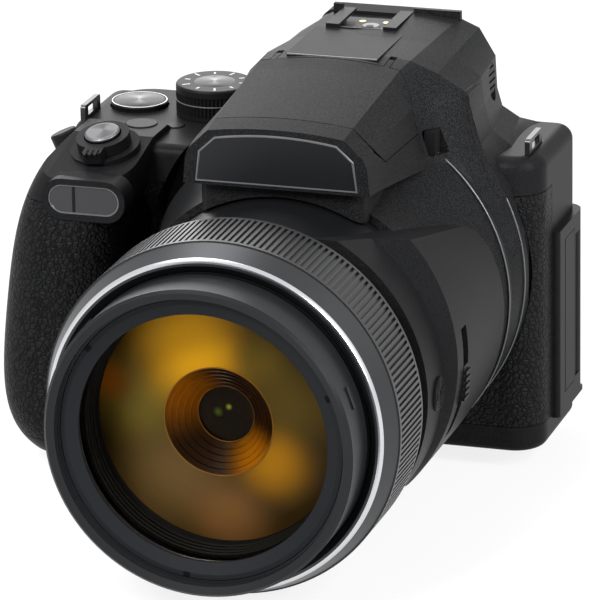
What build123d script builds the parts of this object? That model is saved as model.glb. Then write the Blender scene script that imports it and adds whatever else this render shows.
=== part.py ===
from build123d import *
import os
from math import cos, sin, radians, sqrt

# Bridge camera with a telescoping zoom lens, one solid or set of solids for each physical piece.
# Millimetres. The lens looks along -Y, +X is on the right of the lens seen from its front, +Z is up.
# The origin is the mouth of the tripod socket, on the base plane, straight below the lens axis.

# Whole camera
AXIS_Z = 43.3            # height of the lens axis above the base plane
LENS_FRONT = -140.0      # front rim of the lens
EYE_BACK = 41.3          # rear end of the eyecup
TOP_Z = 114.3            # highest point, the rim behind the hot shoe
SIDE_RIGHT = 57.0        # outermost point of the folded screen
GRIP_LEFT = -89.3        # outermost point of the hand grip
WALL = 2.0               # casing wall
FIT = 0.2                # gap between pieces that lie against each other
RUN = 0.3                # gap between round pieces that slide past each other
PIN_RUN = 0.06           # radial clearance of a small hinge pin
OVER = 4.0               # overrun of cuts

# Case
CASE_X = (-80.0, 55.0)
CASE_Y = (-12.0, 28.0)
DECK_Z = 84.0
CASE_CORNER = 9.0
CASE_BACK_CORNER = 5.0
CASE_TOP_ROUND = 4.0
CASE_FOOT_ROUND = 2.6
BASE_SPLIT = 4.5         # height of the seam between base plate and covers
DECK_DROP = 10.0         # the seam between covers and deck lies this far below the deck
TOP_SPLIT = DECK_Z - DECK_DROP
BACK_SPLIT = 7.0         # seam between front and rear cover

# Raised block on the right side, which carries the connector flap and the ears of the screen
SIDE_BLOCK_Y = (2.2, CASE_Y[1])
SIDE_BLOCK_Z = (6.2, 59.8)
SIDE_BLOCK_ROUND = 1.2

# Hand grip
GRIP_INNER = -57.0       # side of the grip that faces the lens
GRIP_FRONT = -51.5
GRIP_TOP = 88.0
GRIP_CORNER = 13.0
GRIP_SKIN = 1.3
# Levels of the grip, low to high: height as a share of its top, insets on the left and right as
# shares of its width, inset at the front as a share of its depth, corner as a share of the full one
GRIP_LEVEL_SHARES = [
    (0.0, 0.19, 0.04, 0.088, 0.9),
    (0.07, 0.07, 0.01, 0.032, 1.0),
    (0.30, 0.0, 0.0, 0.003, 1.0),
    (0.58, 0.085, -0.02, 0.0, 1.0),
    (0.80, 0.23, -0.12, 0.009, 0.85),
    (0.92, 0.37, -0.18, 0.069, 0.75),
    (1.0, 0.56, -0.18, 0.176, 0.7),
]
# Top of the deck from the front of the grip to the rear: depth, then rise over the deck's plane
PLATFORM_LINE = [(-47.0, -4.4), (-22.0, 1.9), (-10.0, 1.9), (-6.0, 0.0), (CASE_Y[1], 0.0)]

# Shoulder between the grip and the hump: places in depth and height
SHOULDER_X = (-54.0, -20.0)
SHOULDER_Y = (-23.5, -4.0)
SHOULDER_Z = (58.0, 70.0)
SHOULDER_ROUND = 3.0

# Rubber on the front and the sides
SKIN_FOOT = 5.2
SKIN_TOP = TOP_SPLIT - FIT * 2
SKIN_BACK = 6.0
SIDE_RUBBER_FOOT = 7.6
SIDE_RUBBER_BACK = 1.6

# Shroud round the barrel, seated on the front cover. Its circles rise toward the body.
SHROUD_R = 52.2
SHROUD_RISE = 8.5        # centre of the outer lip above the lens axis
SHROUD_Z = AXIS_Z + SHROUD_RISE
SHROUD_BAND_R = 50.6     # band round the middle of the flare
SHROUD_BAND_RISE = 5.5
SHROUD_BAND_Y = (-25.8, -23.4)
SHROUD_LIP_Y = -16.0
SHROUD_LIP = 0.5
SHROUD_FRONT = -62.0
SHROUD_BACK = CASE_Y[0]
SHROUD_NOSE_R = 45.2
SHROUD_BORE_R = 43.2
SHROUD_TOP = 88.7        # flat top inside the hump
SHROUD_LEFT_R = 51.0     # limit round the lens axis beside the shoulder
# Circles of the flare: depth, radius and rise of the centre
SHROUD_FLARE = [(SHROUD_FRONT, SHROUD_NOSE_R, 0.0), (-46.0, 46.4, 1.6), (-36.0, 48.0, 3.4),
                (SHROUD_BAND_Y[0], SHROUD_BAND_R - SHROUD_LIP, SHROUD_BAND_RISE)]

# Barrel and its sliding stages
BARREL_R = 43.0
BARREL_BORE_R = 41.6
BARREL_BACK = CASE_Y[0]
SLEEVE_R = 45.2          # sleeve under the ribbed ring
SLEEVE_FRONT = -119.8
RING_R = 47.8
RING_Y = (-119.7, -99.3)
RIB_COUNT = 180
RIB_DEPTH = 0.7
RIB_WIDTH = 0.85
RIB_END = 1.3            # plain rim at each end of the ribs
TRIM_BACK_R = 47.4
TRIM_FRONT_R = 44.5
TRIM_FRONT = -126.4
TRIM_LIP = 1.2           # width of the silver edge
BARREL_CAP = 2.0
LIGHT_R = 17.0           # clear way for the light through the rear plates
STAGE_WALL = 1.8
STAGE_BACK = -24.0       # rear end of both sliding stages at rest
FRONT_R = 41.2           # front tube, outside
FRONT_TUBE_BACK = -126.9
THREAD_R = 38.5          # filter thread
THREAD_LEN = 3.2
RETAINER_R = 37.8        # seat of the retaining ring behind the thread
GLASS_R = 34.3
GLASS_EDGE = 2.4
GLASS_SAG = 2.2
GLASS_BACK_SAG = 2.0
RETAINER_DEPTH = 2.6
LENS_EYE = 0.5           # radius of the flat in the middle of a lens
INNER_LENS_R = 33.0      # second element behind the front one
INNER_LENS_SAG = 1.6
INNER_LENS_EDGE = 3.0
INNER_LENS_Y = -120.6
CELL_WALL = 1.4
LUG_DEPTH = 0.8          # bayonet lugs on the front tube
LUG_ANGLES = (100.0, 220.0, 340.0)
CAM_BACK = -30.0
CAM_SLOT_WIDTH = 3.0
CAM_SLOTS = 3
APERTURE_R = 24.0
APERTURE_Y = (-74.0, -66.0)
BLADE_COUNT = 7
FOCUS_R = 20.0
FOCUS_Y = (-52.0, -40.0)

# Pod with the controls on the right of the barrel: a low front field, a ridge and a high rear field
POD_R = 50.2
POD_RISE = 4.0           # centre of the rear field above the lens axis
POD_FRONT_R = 47.0
POD_RIDGE_Y = (-77.6, -75.0)
POD_Y = (-92.0, -29.6)
# Outline of the pod seen from the side: depth and height
POD_OUTLINE = [(POD_Y[0], 12.8), (POD_Y[0], 84.4), (-77.5, 81.0), (-55.8, 77.0), (-41.5, 74.2),
               (-35.6, 71.0), (-31.9, 65.5), (-30.2, 57.0), (POD_Y[1], 47.9), (-30.4, 39.2),
               (-31.3, 31.6), (-34.4, 25.2), (-44.0, 17.0), (-60.0, 12.8)]
POD_BUTTON_ANGLE = -1.6
POD_BUTTON_Y = -83.0
POD_BUTTON_R = 4.4
POD_SLIDER_ANGLE = -4.4
POD_SLIDER_Y = -67.4
SLIDER_R = 49.8
SLIDER_SIZE = (10.0, 4.2, 2.2)   # along the arc, along the axis, height
SLIDER_SWING = 4.0               # degrees each way

# Hump with flash and viewfinder: places of its sections and shares of half width and rise
HUMP_HALF = 38.0
HUMP_RISE = TOP_Z - DECK_Z
HUMP_FRONT = -71.2
HUMP_BACK = 24.0
HUMP_CROWN = 1.4         # rise of the hump's middle over its edges
HUMP_BAND = 7.4          # front band that carries the bare plate
VISOR_FOOT = (90.0, 86.0)        # height of the overhang's lower edge, front and rear
VISOR_BACK = -30.0
NECK_HALF = 22.6         # narrower neck under the overhang
NECK_FRONT = -68.2
NECK_BORE_R = 43.7
LID_REAR = -22.9
LID_WALL = 1.5
LID_SKIRT = 95.2         # height of the lid's lower edge
LID_KNEES = (-57.2, -30.2)       # depth of the corners of the lid's side
LID_CORNER_Z = (99.8, 101.9)     # height of the lid's side at its front and rear
LID_TOP_Z = 110.3
LID_GAP = 0.3
LID_CREST = 105.8        # height of the lid's front edge
LID_DRAFT = 0.75         # slant of the lid's front face, so that it clears the band as it lifts
LID_PIVOT = (-17.7, 108.6)
LID_PIN_R = 0.9
LID_EYE_R = 2.2          # round end of the lid's arms
LID_ARM_FRONT = -44.0
BAY_HALF = 16.8
BAY_Y = (-62.0, -24.6)
BAY_FLOOR = 92.5
PLATE_HALF = (16.6, 21.0, 22.0)  # half widths of the bare plate: top, shoulder, foot
PLATE_Z = (102.9, 98.9, 91.0)
PLATE_THICK = 1.0
TOP_PLATE_HALF = 12.8
TOP_PLATE_FRONT = -20.6
TOP_PLATE_RISE = 0.5

# Hot shoe
SHOE_Y = (6.0, 23.0)
SHOE_HALF = 10.0
SHOE_SLOT_HALF = 9.3
SHOE_MOUTH_HALF = 6.3
SHOE_DROP = 3.7          # the rim behind the shoe rises this far over its floor
SHOE_FLOOR = TOP_Z - SHOE_DROP
SHOE_METAL = 0.8
SHOE_SLOT_H = 1.9
SHOE_SPRING = 0.25
CONTACT_R = 1.1
RIM_WIDTH = 1.6

# Viewfinder
EYE_Z = 97.0
EYE_HOUSING_HALF = 19.0
EYE_HOUSING_TOP = 109.0
EYE_HOUSING_BACK = 31.0
EYE_BORE = (11.0, 7.6)   # half width and half height of the light path
EYECUP_HALF = (19.5, 13.0)
EYECUP_HOLE = (12.5, 9.0)
EYE_CORNER = 3.0
EYE_LENS_THICK = 2.2
EVF_Y = (2.0, 21.5)
EVF_HALF = (12.5, 8.6)
DIOPTER_R = 5.0
DIOPTER_THICK = 3.0
DIOPTER_Y = 16.0

# Controls on the deck
SHUTTER_AT = (-62.0, -29.5, 84.0)
SHUTTER_TILT = 14.1
SHUTTER_LEAN = -5.0
SHUTTER_R = 4.9
SHUTTER_H = 3.2
SHUTTER_TRAVEL = 0.9
LEVER_R = 7.4
LEVER_H = 3.4
LEVER_TAB = (5.4, 6.0)   # width and reach of the lever's tab
BOSS_R = 9.6
BOSS_H = 1.0
WELL = 1.6               # depth of a button's well under the button
POWER_AT = (-58.0, -11.0)
POWER_R = 4.4
FN_AT = (-77.0, -19.0)
FN_R = 3.8
KEY_H = 2.4
KEY_PROUD = 0.9
KEY_TRAVEL = 0.7
FN_LEAN = -24.0
MODE_AT = (-43.8, 10.4)
MODE_R = 10.8
MODE_H = 9.0
KNURL_COUNT = 60
KNURL_DEPTH = 0.35
COMMAND_AT = (-66.5, 12.0)
COMMAND_R = 8.0
COMMAND_H = 2.6
SPINDLE_R = 2.2
SPINDLE_L = 3.4
MOVIE_AT = (-50.5, -4.6)
MOVIE_R = 2.6
FLASH_KEY_AT = (-26.8, 92.3)    # along Y and Z, on the right side of the hump
FLASH_KEY = (4.6, 6.4)
LAMP_X = (-71.0, -51.2)
LAMP_Z = (71.8, 79.6)
LAMP_Y = (-50.4, -48.0)
LAMP_FRAME = 1.9
LAMP_FRAME_Y = (-51.0, -43.0)

# Controls on the back
BACK_KEY_R = 3.2
SELECT_AT = (-50.0, 36.0)
SELECT_R = 10.5
SELECT_BORE = 6.2
OK_R = 5.6
PLAY_AT = (-66.0, 52.0)
MENU_AT = (-37.0, 18.0)
DELETE_AT = (-63.0, 18.0)
DISPLAY_AT = (-34.0, 52.0)
AF_AT = (-60.0, 63.5)
AF_R = 3.4
AF_RING_R = 6.4
AF_GRIP = (2.2, 3.0)

# Folding screen
LCD_X = (-23.5, 46.7)
LCD_Z = (8.0, 59.4)
LCD_Y = (20.0, 28.4)
LCD_CORNER = 3.0
LCD_RECESS = 19.4        # floor of the recess behind the screen
LCD_BEZEL = 4.0
LCD_GLASS_THICK = 0.9
ARM_R = 4.7
ARM_Z = (13.0, 54.0)
ARM_PIN_R = 1.5
ARM_PIN_L = 3.0
EAR_Z = (7.5, 59.8)
STUB_R = 2.6
STUB_L = 4.0

# Sides, straps and base
FLAP_Y = (8.2, 18.0)
FLAP_Z = (12.0, 56.0)
FLAP_THICK = 1.6
JACK_Z = (20.0, 34.0, 48.0)
JACK = (7.0, 6.0, 5.0)   # depth, width and height of a jack
LUG_THICK = 1.4
LUG_Y = (-7.0, 6.0)
LUG_RISE = 4.4
LUG_SLOT = (7.4, 2.3)
LUG_RIGHT_X = 50.4
LUG_LEFT_X = -76.6
LUG_ROOT = 3.0
SOCKET_R = 3.175         # quarter inch thread
SOCKET_OUT_R = 5.6
SOCKET_LEN = 8.0
SOCKET_DEPTH = 6.0
SCREW_R = 1.5
SCREW_HEAD_R = 2.6
SCREW_HEAD = 1.0
SCREW_L = 5.0
SCREW_PLACES = ((-46.0, -4.0), (-46.0, 15.0), (44.0, -4.0), (44.0, 15.0), (22.0, 15.0), (-22.0, 15.0))
DOOR_X = (-80.6, -64.4)
DOOR_Y = (-40.0, -12.4)
DOOR_Z = (0.2, 2.2)
DOOR_CORNER = 3.0
BATTERY_X = (-79.4, -65.6)
BATTERY_Y = (-39.0, -13.4)
BATTERY_Z = (2.6, 51.0)

# Inside
CHASSIS_Y = (-9.8, -8.3)
CHASSIS_X = (-44.0, 46.0)
CHASSIS_Z = (2.3, 70.0)
CHASSIS_FOOT = 12.0
SENSOR_HALF = 9.0
SENSOR_BOARD_HALF = 19.0
SENSOR_Y = -8.1
SENSOR_THICK = 2.4
BOARD_Y = (12.2, 13.8)
BOARD_X = (-43.0, 48.6)
BOARD_Z = (8.0, 68.0)
CHIP = (14.0, 1.6, 14.0)
STANDOFF_R = 2.2         # posts of the chassis that carry the board
MOTOR_R = 5.4
MOTOR_AT = (-50.5, 14.0)
MOTOR_Y = (-9.6, 12.0)
CAPACITOR_R = 5.0
CAPACITOR_AT = (10.5, 61.0)
CAPACITOR_X = (-76.0, -48.0)
LEAD_R = 0.5
LEAD_Z = 2.0             # the leads lie this far above and below the capacitor's middle

LENS_AXIS = Axis((0, 0, AXIS_Z), (0, 1, 0))


def mean(pair):
    return (pair[0] + pair[1]) / 2


def span(pair):
    return abs(pair[1] - pair[0])


def block(x, y, z):
    """Box from three pairs of limits."""
    return Pos(mean(x), mean(y), mean(z)) * Box(span(x), span(y), span(z))


def grown(pair, by):
    return (pair[0] - by, pair[1] + by)


def ordered(a, b):
    return (min(a, b), max(a, b))


def slab(x, y, z, corner):
    """Box from three pairs of limits with rounded upright edges."""
    face = Pos(mean(x), mean(y), z[0]) * RectangleRounded(span(x), span(y), corner)
    return extrude(face, span(z), dir=(0, 0, 1))


def panel(x, z, y, corner):
    """Box from limits with its rounded corners seen along Y."""
    plane = Plane((mean(x), y[0], mean(z)), x_dir=(1, 0, 0), z_dir=(0, 1, 0))
    return extrude(plane * RectangleRounded(span(x), span(z), corner), span(y), dir=(0, 1, 0))


def rod(radius, y, x=0.0, z=AXIS_Z):
    """Cylinder along Y."""
    return Pos(x, mean(y), z) * Rot(90, 0, 0) * Cylinder(radius, span(y))


def post(radius, z, x, y):
    """Cylinder along Z."""
    return Pos(x, y, mean(z)) * Cylinder(radius, span(z))


def bar(radius, x, y, z):
    """Cylinder along X."""
    return Pos(mean(x), y, z) * Rot(0, 90, 0) * Cylinder(radius, span(x))


def tube(outer, inner, y, x=0.0, z=AXIS_Z):
    return rod(outer, y, x, z) - rod(inner, grown(y, OVER), x, z)


def spun(points):
    """Solid of revolution round the lens axis from (radius, y) points."""
    corners = [(r, y, AXIS_Z) for r, y in points]
    return revolve(make_face(Polyline(*corners, close=True)), LENS_AXIS, 360)


def dome(radius, rim, edge_y, thick, front_sag, back_sag):
    """Lens element whose front bulges towards -Y inside a flat rim, with a tiny flat on its axis."""
    clear = radius - rim
    waist = clear / sqrt(3)
    top = edge_y - front_sag
    low = edge_y + thick
    front = ThreePointArc((LENS_EYE, top, AXIS_Z), (waist, edge_y - front_sag * 2 / 3, AXIS_Z),
                          (clear, edge_y, AXIS_Z))
    side = [(clear, edge_y, AXIS_Z), (radius, edge_y, AXIS_Z), (radius, low, AXIS_Z),
            (clear, low, AXIS_Z)]
    if not rim:
        side = side[1:3]
    core = [(LENS_EYE, low + back_sag, AXIS_Z), (0, low + back_sag, AXIS_Z), (0, top, AXIS_Z),
            (LENS_EYE, top, AXIS_Z)]
    back = []
    if back_sag:
        back = [ThreePointArc((clear, low, AXIS_Z), (waist, low + back_sag * 2 / 3, AXIS_Z), core[0])]
    else:
        core = [(clear, low, AXIS_Z)] + core[1:]
    return revolve(make_face([front, Polyline(*side)] + back + [Polyline(*core)]), LENS_AXIS, 360)


def rounded(solid, edges, radius):
    """Fillet that keeps the plain solid when an edge can't take it."""
    try:
        done = fillet(edges, radius)
        return done if done.is_valid else solid
    except Exception:
        return solid


def key(radius, x, y, z):
    """Round button along Z with a small lip rounding."""
    body = post(radius, z, x, y)
    return fillet(body.edges().group_by(Axis.Z)[-1], min(radius, span(z)) / 6)


# Case, grip and shroud


def case_block():
    body = slab(CASE_X, CASE_Y, (0, DECK_Z), CASE_CORNER)
    body += slab(CASE_X, (mean(CASE_Y) - CASE_BACK_CORNER, CASE_Y[1]), (0, DECK_Z), CASE_BACK_CORNER)
    body = fillet(body.faces().sort_by(Axis.Z)[-1].edges(), CASE_TOP_ROUND)
    return fillet(body.faces().sort_by(Axis.Z)[0].edges(), CASE_FOOT_ROUND)


def case_hollow():
    x = grown(CASE_X, -WALL)
    y = grown(CASE_Y, -WALL)
    return slab(x, y, (WALL, DECK_Z - WALL), CASE_CORNER - WALL)


def grip_block(inset):
    """Lofted grip, drawn in by inset on every side."""
    width = GRIP_INNER - GRIP_LEFT
    depth = CASE_Y[1] - GRIP_FRONT
    levels = []
    for rise, left, right, front, round_share in GRIP_LEVEL_SHARES:
        x = (GRIP_LEFT + left * width + inset, GRIP_INNER - right * width - inset)
        y = (GRIP_FRONT + front * depth + inset, CASE_Y[1] - inset)
        corner = min(GRIP_CORNER * round_share, span(x) / 2.2) - inset / 2
        levels.append(Pos(mean(x), mean(y), rise * GRIP_TOP) * RectangleRounded(span(x), span(y),
                                                                                corner))
    return loft(levels)


def ring_face(y, radius, rise):
    """Circle across the lens axis with its centre above it."""
    return Pos(0, y, AXIS_Z + rise) * Rot(90, 0, 0) * Circle(radius)


def shroud():
    """Flared bell round the barrel with a band and an outer lip, cut flat at its foot and top."""
    edge = SHROUD_BAND_R - SHROUD_LIP
    bell = loft([ring_face(*place) for place in SHROUD_FLARE])
    bell += rod(SHROUD_BAND_R, SHROUD_BAND_Y, 0, AXIS_Z + SHROUD_BAND_RISE)
    bell += loft([ring_face(SHROUD_BAND_Y[1], edge, SHROUD_BAND_RISE),
                  ring_face(SHROUD_LIP_Y, SHROUD_R - SHROUD_LIP, SHROUD_RISE),
                  ring_face(SHROUD_LIP_Y + SHROUD_LIP, SHROUD_R, SHROUD_RISE),
                  ring_face(SHROUD_BACK, SHROUD_R, SHROUD_RISE)], ruled=True)
    y = grown((SHROUD_FRONT, SHROUD_BACK), OVER)
    bell -= rod(SHROUD_BORE_R, y)
    beside = block((-SHROUD_R - OVER, SHOULDER_X[1]), y, (AXIS_Z, TOP_Z))
    bell -= beside - rod(SHROUD_LEFT_R, y)
    return bell & block((-SHROUD_R, SHROUD_R), (SHROUD_FRONT, SHROUD_BACK), (FIT, SHROUD_TOP))


def less_shroud(body):
    """Takes the room of the shroud and the barrel out of a shell."""
    y = (SHROUD_FRONT - OVER, SHROUD_BACK)
    for room in (SHROUD, rod(SHROUD_BORE_R, y), rod(SHROUD_R, y, 0, SHROUD_Z)):
        body -= room
    return body


def lens_shroud():
    return SHROUD


def shoulder_block(inset):
    """Shoulder that joins the grip's top with the hump, with a slanted underside."""
    x = grown(SHOULDER_X, -inset)
    front = SHOULDER_Y[0] + inset
    outline = [(SHOULDER_Y[1], SHOULDER_Z[0] + inset), (CASE_Y[0], SHOULDER_Z[0] + inset),
               (front, SHOULDER_Z[1] + inset),
               (front, DECK_Z - inset), (SHOULDER_Y[1], DECK_Z - inset)]
    body = extrude(make_face(Polyline(*[(x[0], y, z) for y, z in outline], close=True)), span(x),
                   dir=(1, 0, 0))
    top = body.edges().filter_by(Axis.X).sort_by_distance((mean(x), front, DECK_Z))[0]
    return fillet(top, SHOULDER_ROUND)


def grip_clear():
    """Hollow of the grip for the battery."""
    return block(grown(BATTERY_X, FIT), grown(BATTERY_Y, FIT), (-OVER, BATTERY_Z[1] + FIT))


def beyond(x=None, y=None, z=None):
    """Large block between the given limits."""
    reach = TOP_Z * 2
    return block(x or (-reach, reach), y or (-reach, reach), z or (-reach, reach))


def platform_block():
    """Everything below the top of the deck, which rises and then slopes down over the grip."""
    line = [(y, DECK_Z + rise) for y, rise in PLATFORM_LINE]
    front = GRIP_FRONT * 1.2
    fall = (line[1][1] - line[0][1]) / (line[1][0] - line[0][0])
    line = [(front, line[0][1] - fall * (line[0][0] - front))] + line
    outline = line + [(line[-1][0], 0), (front, 0)]
    face = make_face(Polyline(*[(GRIP_LEFT * 1.1, y, z) for y, z in outline], close=True))
    return extrude(face, -GRIP_LEFT * 1.1 + CASE_X[1], dir=(1, 0, 0))


def outer_block():
    """Case, grip and shoulder in one."""
    return case_block() + (grip_block(0.0) & platform_block()) + shoulder_block(0.0)


def side_block():
    """Raised block on the right side."""
    body = block((CASE_X[1] - WALL, SIDE_RIGHT), SIDE_BLOCK_Y, SIDE_BLOCK_Z)
    right = body.faces().sort_by(Axis.X)[-1]
    return fillet(right.edges().filter_by(Axis.Z), SIDE_BLOCK_ROUND)


def core_block():
    """The same shape under its rubber skin."""
    x = grown(CASE_X, -GRIP_SKIN)
    y = grown(CASE_Y, -GRIP_SKIN)
    core = slab(x, y, (0, DECK_Z), CASE_CORNER - GRIP_SKIN)
    core += slab(x, (mean(CASE_Y) - CASE_BACK_CORNER, y[1]), (0, DECK_Z), CASE_BACK_CORNER - GRIP_SKIN)
    return core + (grip_block(GRIP_SKIN) & platform_block()) + shoulder_block(GRIP_SKIN)


CASE = case_block()
CASE_HOLLOW = case_hollow()
OUTER = outer_block()
SKIN = outer_block() - core_block()
SHROUD = shroud()


# Sections of the hump, front to rear: depth, then the points of its right and left flank from top to
# bottom as shares of its half width and of its rise over the deck
HUMP_FLANK_SHARES = [
    (HUMP_FRONT,
     [(0.49, 0.687), (0.632, 0.518), (0.655, 0.44), (0.67, 0.25), (0.69, 0.05), (0.70, -0.2),
      (0.71, -0.6), (0.72, -0.9)],
     [(0.49, 0.687), (0.632, 0.518), (0.655, 0.44), (0.67, 0.25), (0.69, 0.05), (0.70, -0.2),
      (0.71, -0.6), (0.72, -0.9)]),
    (HUMP_FRONT + HUMP_BAND,
     [(0.495, 0.72), (0.64, 0.541), (0.665, 0.44), (0.68, 0.25), (0.70, 0.05), (0.71, -0.2),
      (0.72, -0.6), (0.73, -0.9)],
     [(0.495, 0.72), (0.64, 0.541), (0.665, 0.44), (0.68, 0.25), (0.70, 0.05), (0.71, -0.2),
      (0.72, -0.6), (0.73, -0.9)]),
    (VISOR_BACK,
     [(0.513, 0.840), (0.66, 0.60), (0.69, 0.45), (0.73, 0.27), (0.78, 0.07), (0.86, -0.18),
      (1.0, -0.6), (1.1, -0.95)],
     [(0.513, 0.840), (0.655, 0.60), (0.67, 0.45), (0.685, 0.27), (0.70, 0.07), (0.71, -0.2),
      (0.72, -0.6), (0.73, -0.9)]),
    (LID_REAR,
     [(0.516, 0.868), (0.70, 0.69), (0.79, 0.56), (0.86, 0.35), (0.94, 0.12), (1.04, -0.1),
      (1.17, -0.45), (1.30, -0.9)],
     [(0.516, 0.868), (0.65, 0.64), (0.67, 0.45), (0.69, 0.25), (0.71, 0.05), (0.72, -0.2),
      (0.73, -0.6), (0.74, -0.9)]),
    (SHROUD_LIP_Y,
     [(0.54, 0.89), (0.74, 0.79), (0.955, 0.63), (1.005, 0.38), (1.058, 0.158), (1.124, -0.023),
      (1.226, -0.27),
      (1.345, -0.72)],
     [(0.516, 0.876), (0.65, 0.70), (0.68, 0.45), (0.70, 0.25), (0.72, 0.05), (0.73, -0.2),
      (0.74, -0.6), (0.75, -0.9)]),
    (0.0,
     [(0.56, 0.90), (0.74, 0.82), (0.94, 0.63), (0.965, 0.37), (1.02, 0.14), (1.14, 0.03),
      (1.25, -0.1), (1.34, -0.6)],
     [(0.45, 0.87), (0.62, 0.70), (0.70, 0.45), (0.74, 0.25), (0.78, 0.05), (0.80, -0.2),
      (0.85, -0.6), (0.9, -0.9)]),
    (HUMP_BACK,
     [(0.60, 0.93), (0.75, 0.85), (0.87, 0.60), (0.882, 0.30), (0.92, 0.133), (1.05, 0.033),
      (1.21, 0.0), (1.25, -0.5)],
     [(0.36, 0.90), (0.60, 0.70), (0.72, 0.45), (0.78, 0.25), (0.80, 0.05), (0.82, -0.2),
      (0.85, -0.6), (0.9, -0.9)]),
]


def hump_section(y, right, left):
    """Closed outline of one section with a crowned top."""
    points = [(x * HUMP_HALF, y, DECK_Z + z * HUMP_RISE) for x, z in right]
    points += [(-x * HUMP_HALF, y, DECK_Z + z * HUMP_RISE) for x, z in left[::-1]]
    top_left = points[-1]
    top_right = points[0]
    crown = ((top_left[0] + top_right[0]) / 2, y, (top_left[2] + top_right[2]) / 2 + HUMP_CROWN)
    return make_face([ThreePointArc(top_left, crown, top_right), Polyline(*points)])


def hump_block():
    sections = [hump_section(*row) for row in HUMP_FLANK_SHARES]
    body = loft(sections[:2], ruled=True)
    for front, back in zip(sections[1:], sections[2:]):
        body += loft([front, back], ruled=True)
    return body


HUMP = hump_block()


def lid_region(gap):
    """Prism across the hump that holds the lid, drawn in by gap."""
    front = HUMP_FRONT + HUMP_BAND + gap
    low_front = front + (LID_DRAFT if gap else 0)
    slope = (LID_TOP_Z - LID_CORNER_Z[1]) / (LID_REAR - LID_KNEES[1])
    top = TOP_Z + OVER
    rear = LID_REAR + (top - LID_TOP_Z) / slope
    outline = [(low_front, LID_CORNER_Z[0] + gap), (LID_KNEES[0], LID_SKIRT + gap),
               (LID_KNEES[1] - gap, LID_SKIRT + gap), (LID_KNEES[1] - gap, LID_CORNER_Z[1] + gap / 2),
               (rear - gap, top + gap / 2), (front, top + gap / 2), (front, LID_CREST)]
    face = make_face(Polyline(*[(-HUMP_HALF, y, z) for y, z in outline], close=True))
    return extrude(face, HUMP_HALF * 2, dir=(1, 0, 0))


def arm_x(side):
    """Span of one of the lid's two arms."""
    return ordered(side * (BAY_HALF - FIT - LID_WALL), side * (BAY_HALF - FIT))


def pin_x(side, gap):
    """Span of the pin through one arm."""
    low, high = sorted(abs(v) for v in arm_x(side))
    return ordered(side * (low - LID_WALL - gap), side * (high + LID_WALL + gap))


def visor_clear():
    """Space under the overhang of the hump."""
    front = HUMP_FRONT - OVER
    outline = [(front, VISOR_FOOT[0]), (NECK_FRONT, VISOR_FOOT[0]), (VISOR_BACK, VISOR_FOOT[1]),
               (VISOR_BACK, 0), (front, 0)]
    face = make_face(Polyline(*[(-HUMP_HALF * 2, y, z) for y, z in outline], close=True))
    return extrude(face, HUMP_HALF * 4, dir=(1, 0, 0))


def neck():
    body = block((-NECK_HALF, NECK_HALF), (NECK_FRONT, VISOR_BACK + OVER),
                 (AXIS_Z, VISOR_FOOT[0] + FIT))
    body = fillet(body.edges().filter_by(Axis.Z).group_by(Axis.Y)[0], WALL * 2)
    return body - rod(NECK_BORE_R, grown((NECK_FRONT, VISOR_BACK), OVER * 3))


def top_cover():
    deck = OUTER & beyond(z=(TOP_SPLIT, TOP_Z))
    deck -= CASE_HOLLOW
    deck -= grip_block(WALL) & beyond(z=(-OVER, GRIP_TOP * 0.9)) & beyond(y=(GRIP_FRONT,
                                                                             CASE_Y[0] - WALL))
    deck -= HUMP - CASE
    deck = less_shroud(deck)
    deck += lamp_frame(0.0) & beyond(x=(LAMP_X[0] - WALL * 2, LAMP_X[1] + WALL * 2))
    deck += shutter_frame() * Cylinder(BOSS_R, BOSS_H * 2)
    deck -= shutter_frame() * Pos(0, 0, BOSS_H) * Cylinder(SHUTTER_R + FIT, WELL * 4 + BOSS_H)
    deck -= shutter_frame() * Pos(0, 0, BOSS_H + LEVER_H) * Cylinder(BOSS_R * 2, LEVER_H * 2)
    for at, radius, top in ((POWER_AT, POWER_R, platform_z()), (MOVIE_AT, MOVIE_R, DECK_Z)):
        deck -= post(radius + FIT, (top - KEY_H, top + OVER), at[0], at[1])
    deck -= fn_frame() * Cylinder(FN_R + FIT, KEY_H * 2 + KEY_TRAVEL)
    for at in (MODE_AT, COMMAND_AT):
        deck -= post(SPINDLE_R + PIN_RUN, (DECK_Z - SPINDLE_L - FIT, DECK_Z + OVER), at[0], at[1])
    deck -= post(COMMAND_R + RUN, (DECK_Z - WALL / 2, DECK_Z + OVER), COMMAND_AT[0], COMMAND_AT[1])
    deck -= lamp_solid(FIT)
    for x in (LUG_RIGHT_X, LUG_LEFT_X):
        deck -= block(grown((x - LUG_THICK / 2, x + LUG_THICK / 2), FIT), LUG_Y,
                      (DECK_Z - LUG_ROOT, DECK_Z + OVER))
    return deck


def shutter_frame():
    """Place and tilt of the shutter button on the front of the grip."""
    return Pos(*SHUTTER_AT) * Rot(SHUTTER_TILT, SHUTTER_LEAN, 0)


def fn_frame():
    return Pos(FN_AT[0], FN_AT[1], DECK_Z - WALL) * Rot(0, FN_LEAN, 0)


def lamp_solid(gap):
    x = grown(LAMP_X, gap)
    z = grown(LAMP_Z, gap)
    front = LAMP_Y[0] - (OVER if gap else 0)
    return panel(x, z, (front, LAMP_Y[1] + gap), span(z) * 0.48)


def lamp_frame(gap):
    """Frame of the lamp window on the front of the grip."""
    x = grown(LAMP_X, LAMP_FRAME + gap)
    z = grown(LAMP_Z, LAMP_FRAME + gap)
    return panel(x, z, (LAMP_FRAME_Y[0] - gap, LAMP_FRAME_Y[1] + gap), span(z) * 0.48)


def lamp_window():
    """Clear window in its frame."""
    return lamp_solid(0)


def skin_zone(gap):
    """Zone of the rubber on the grip and the front, left of the lens."""
    x = (GRIP_LEFT - OVER, gap - LIGHT_R)
    return beyond(x=x, y=(GRIP_FRONT - OVER, SKIN_BACK + gap), z=(SKIN_FOOT - gap, SKIN_TOP + gap))


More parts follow.
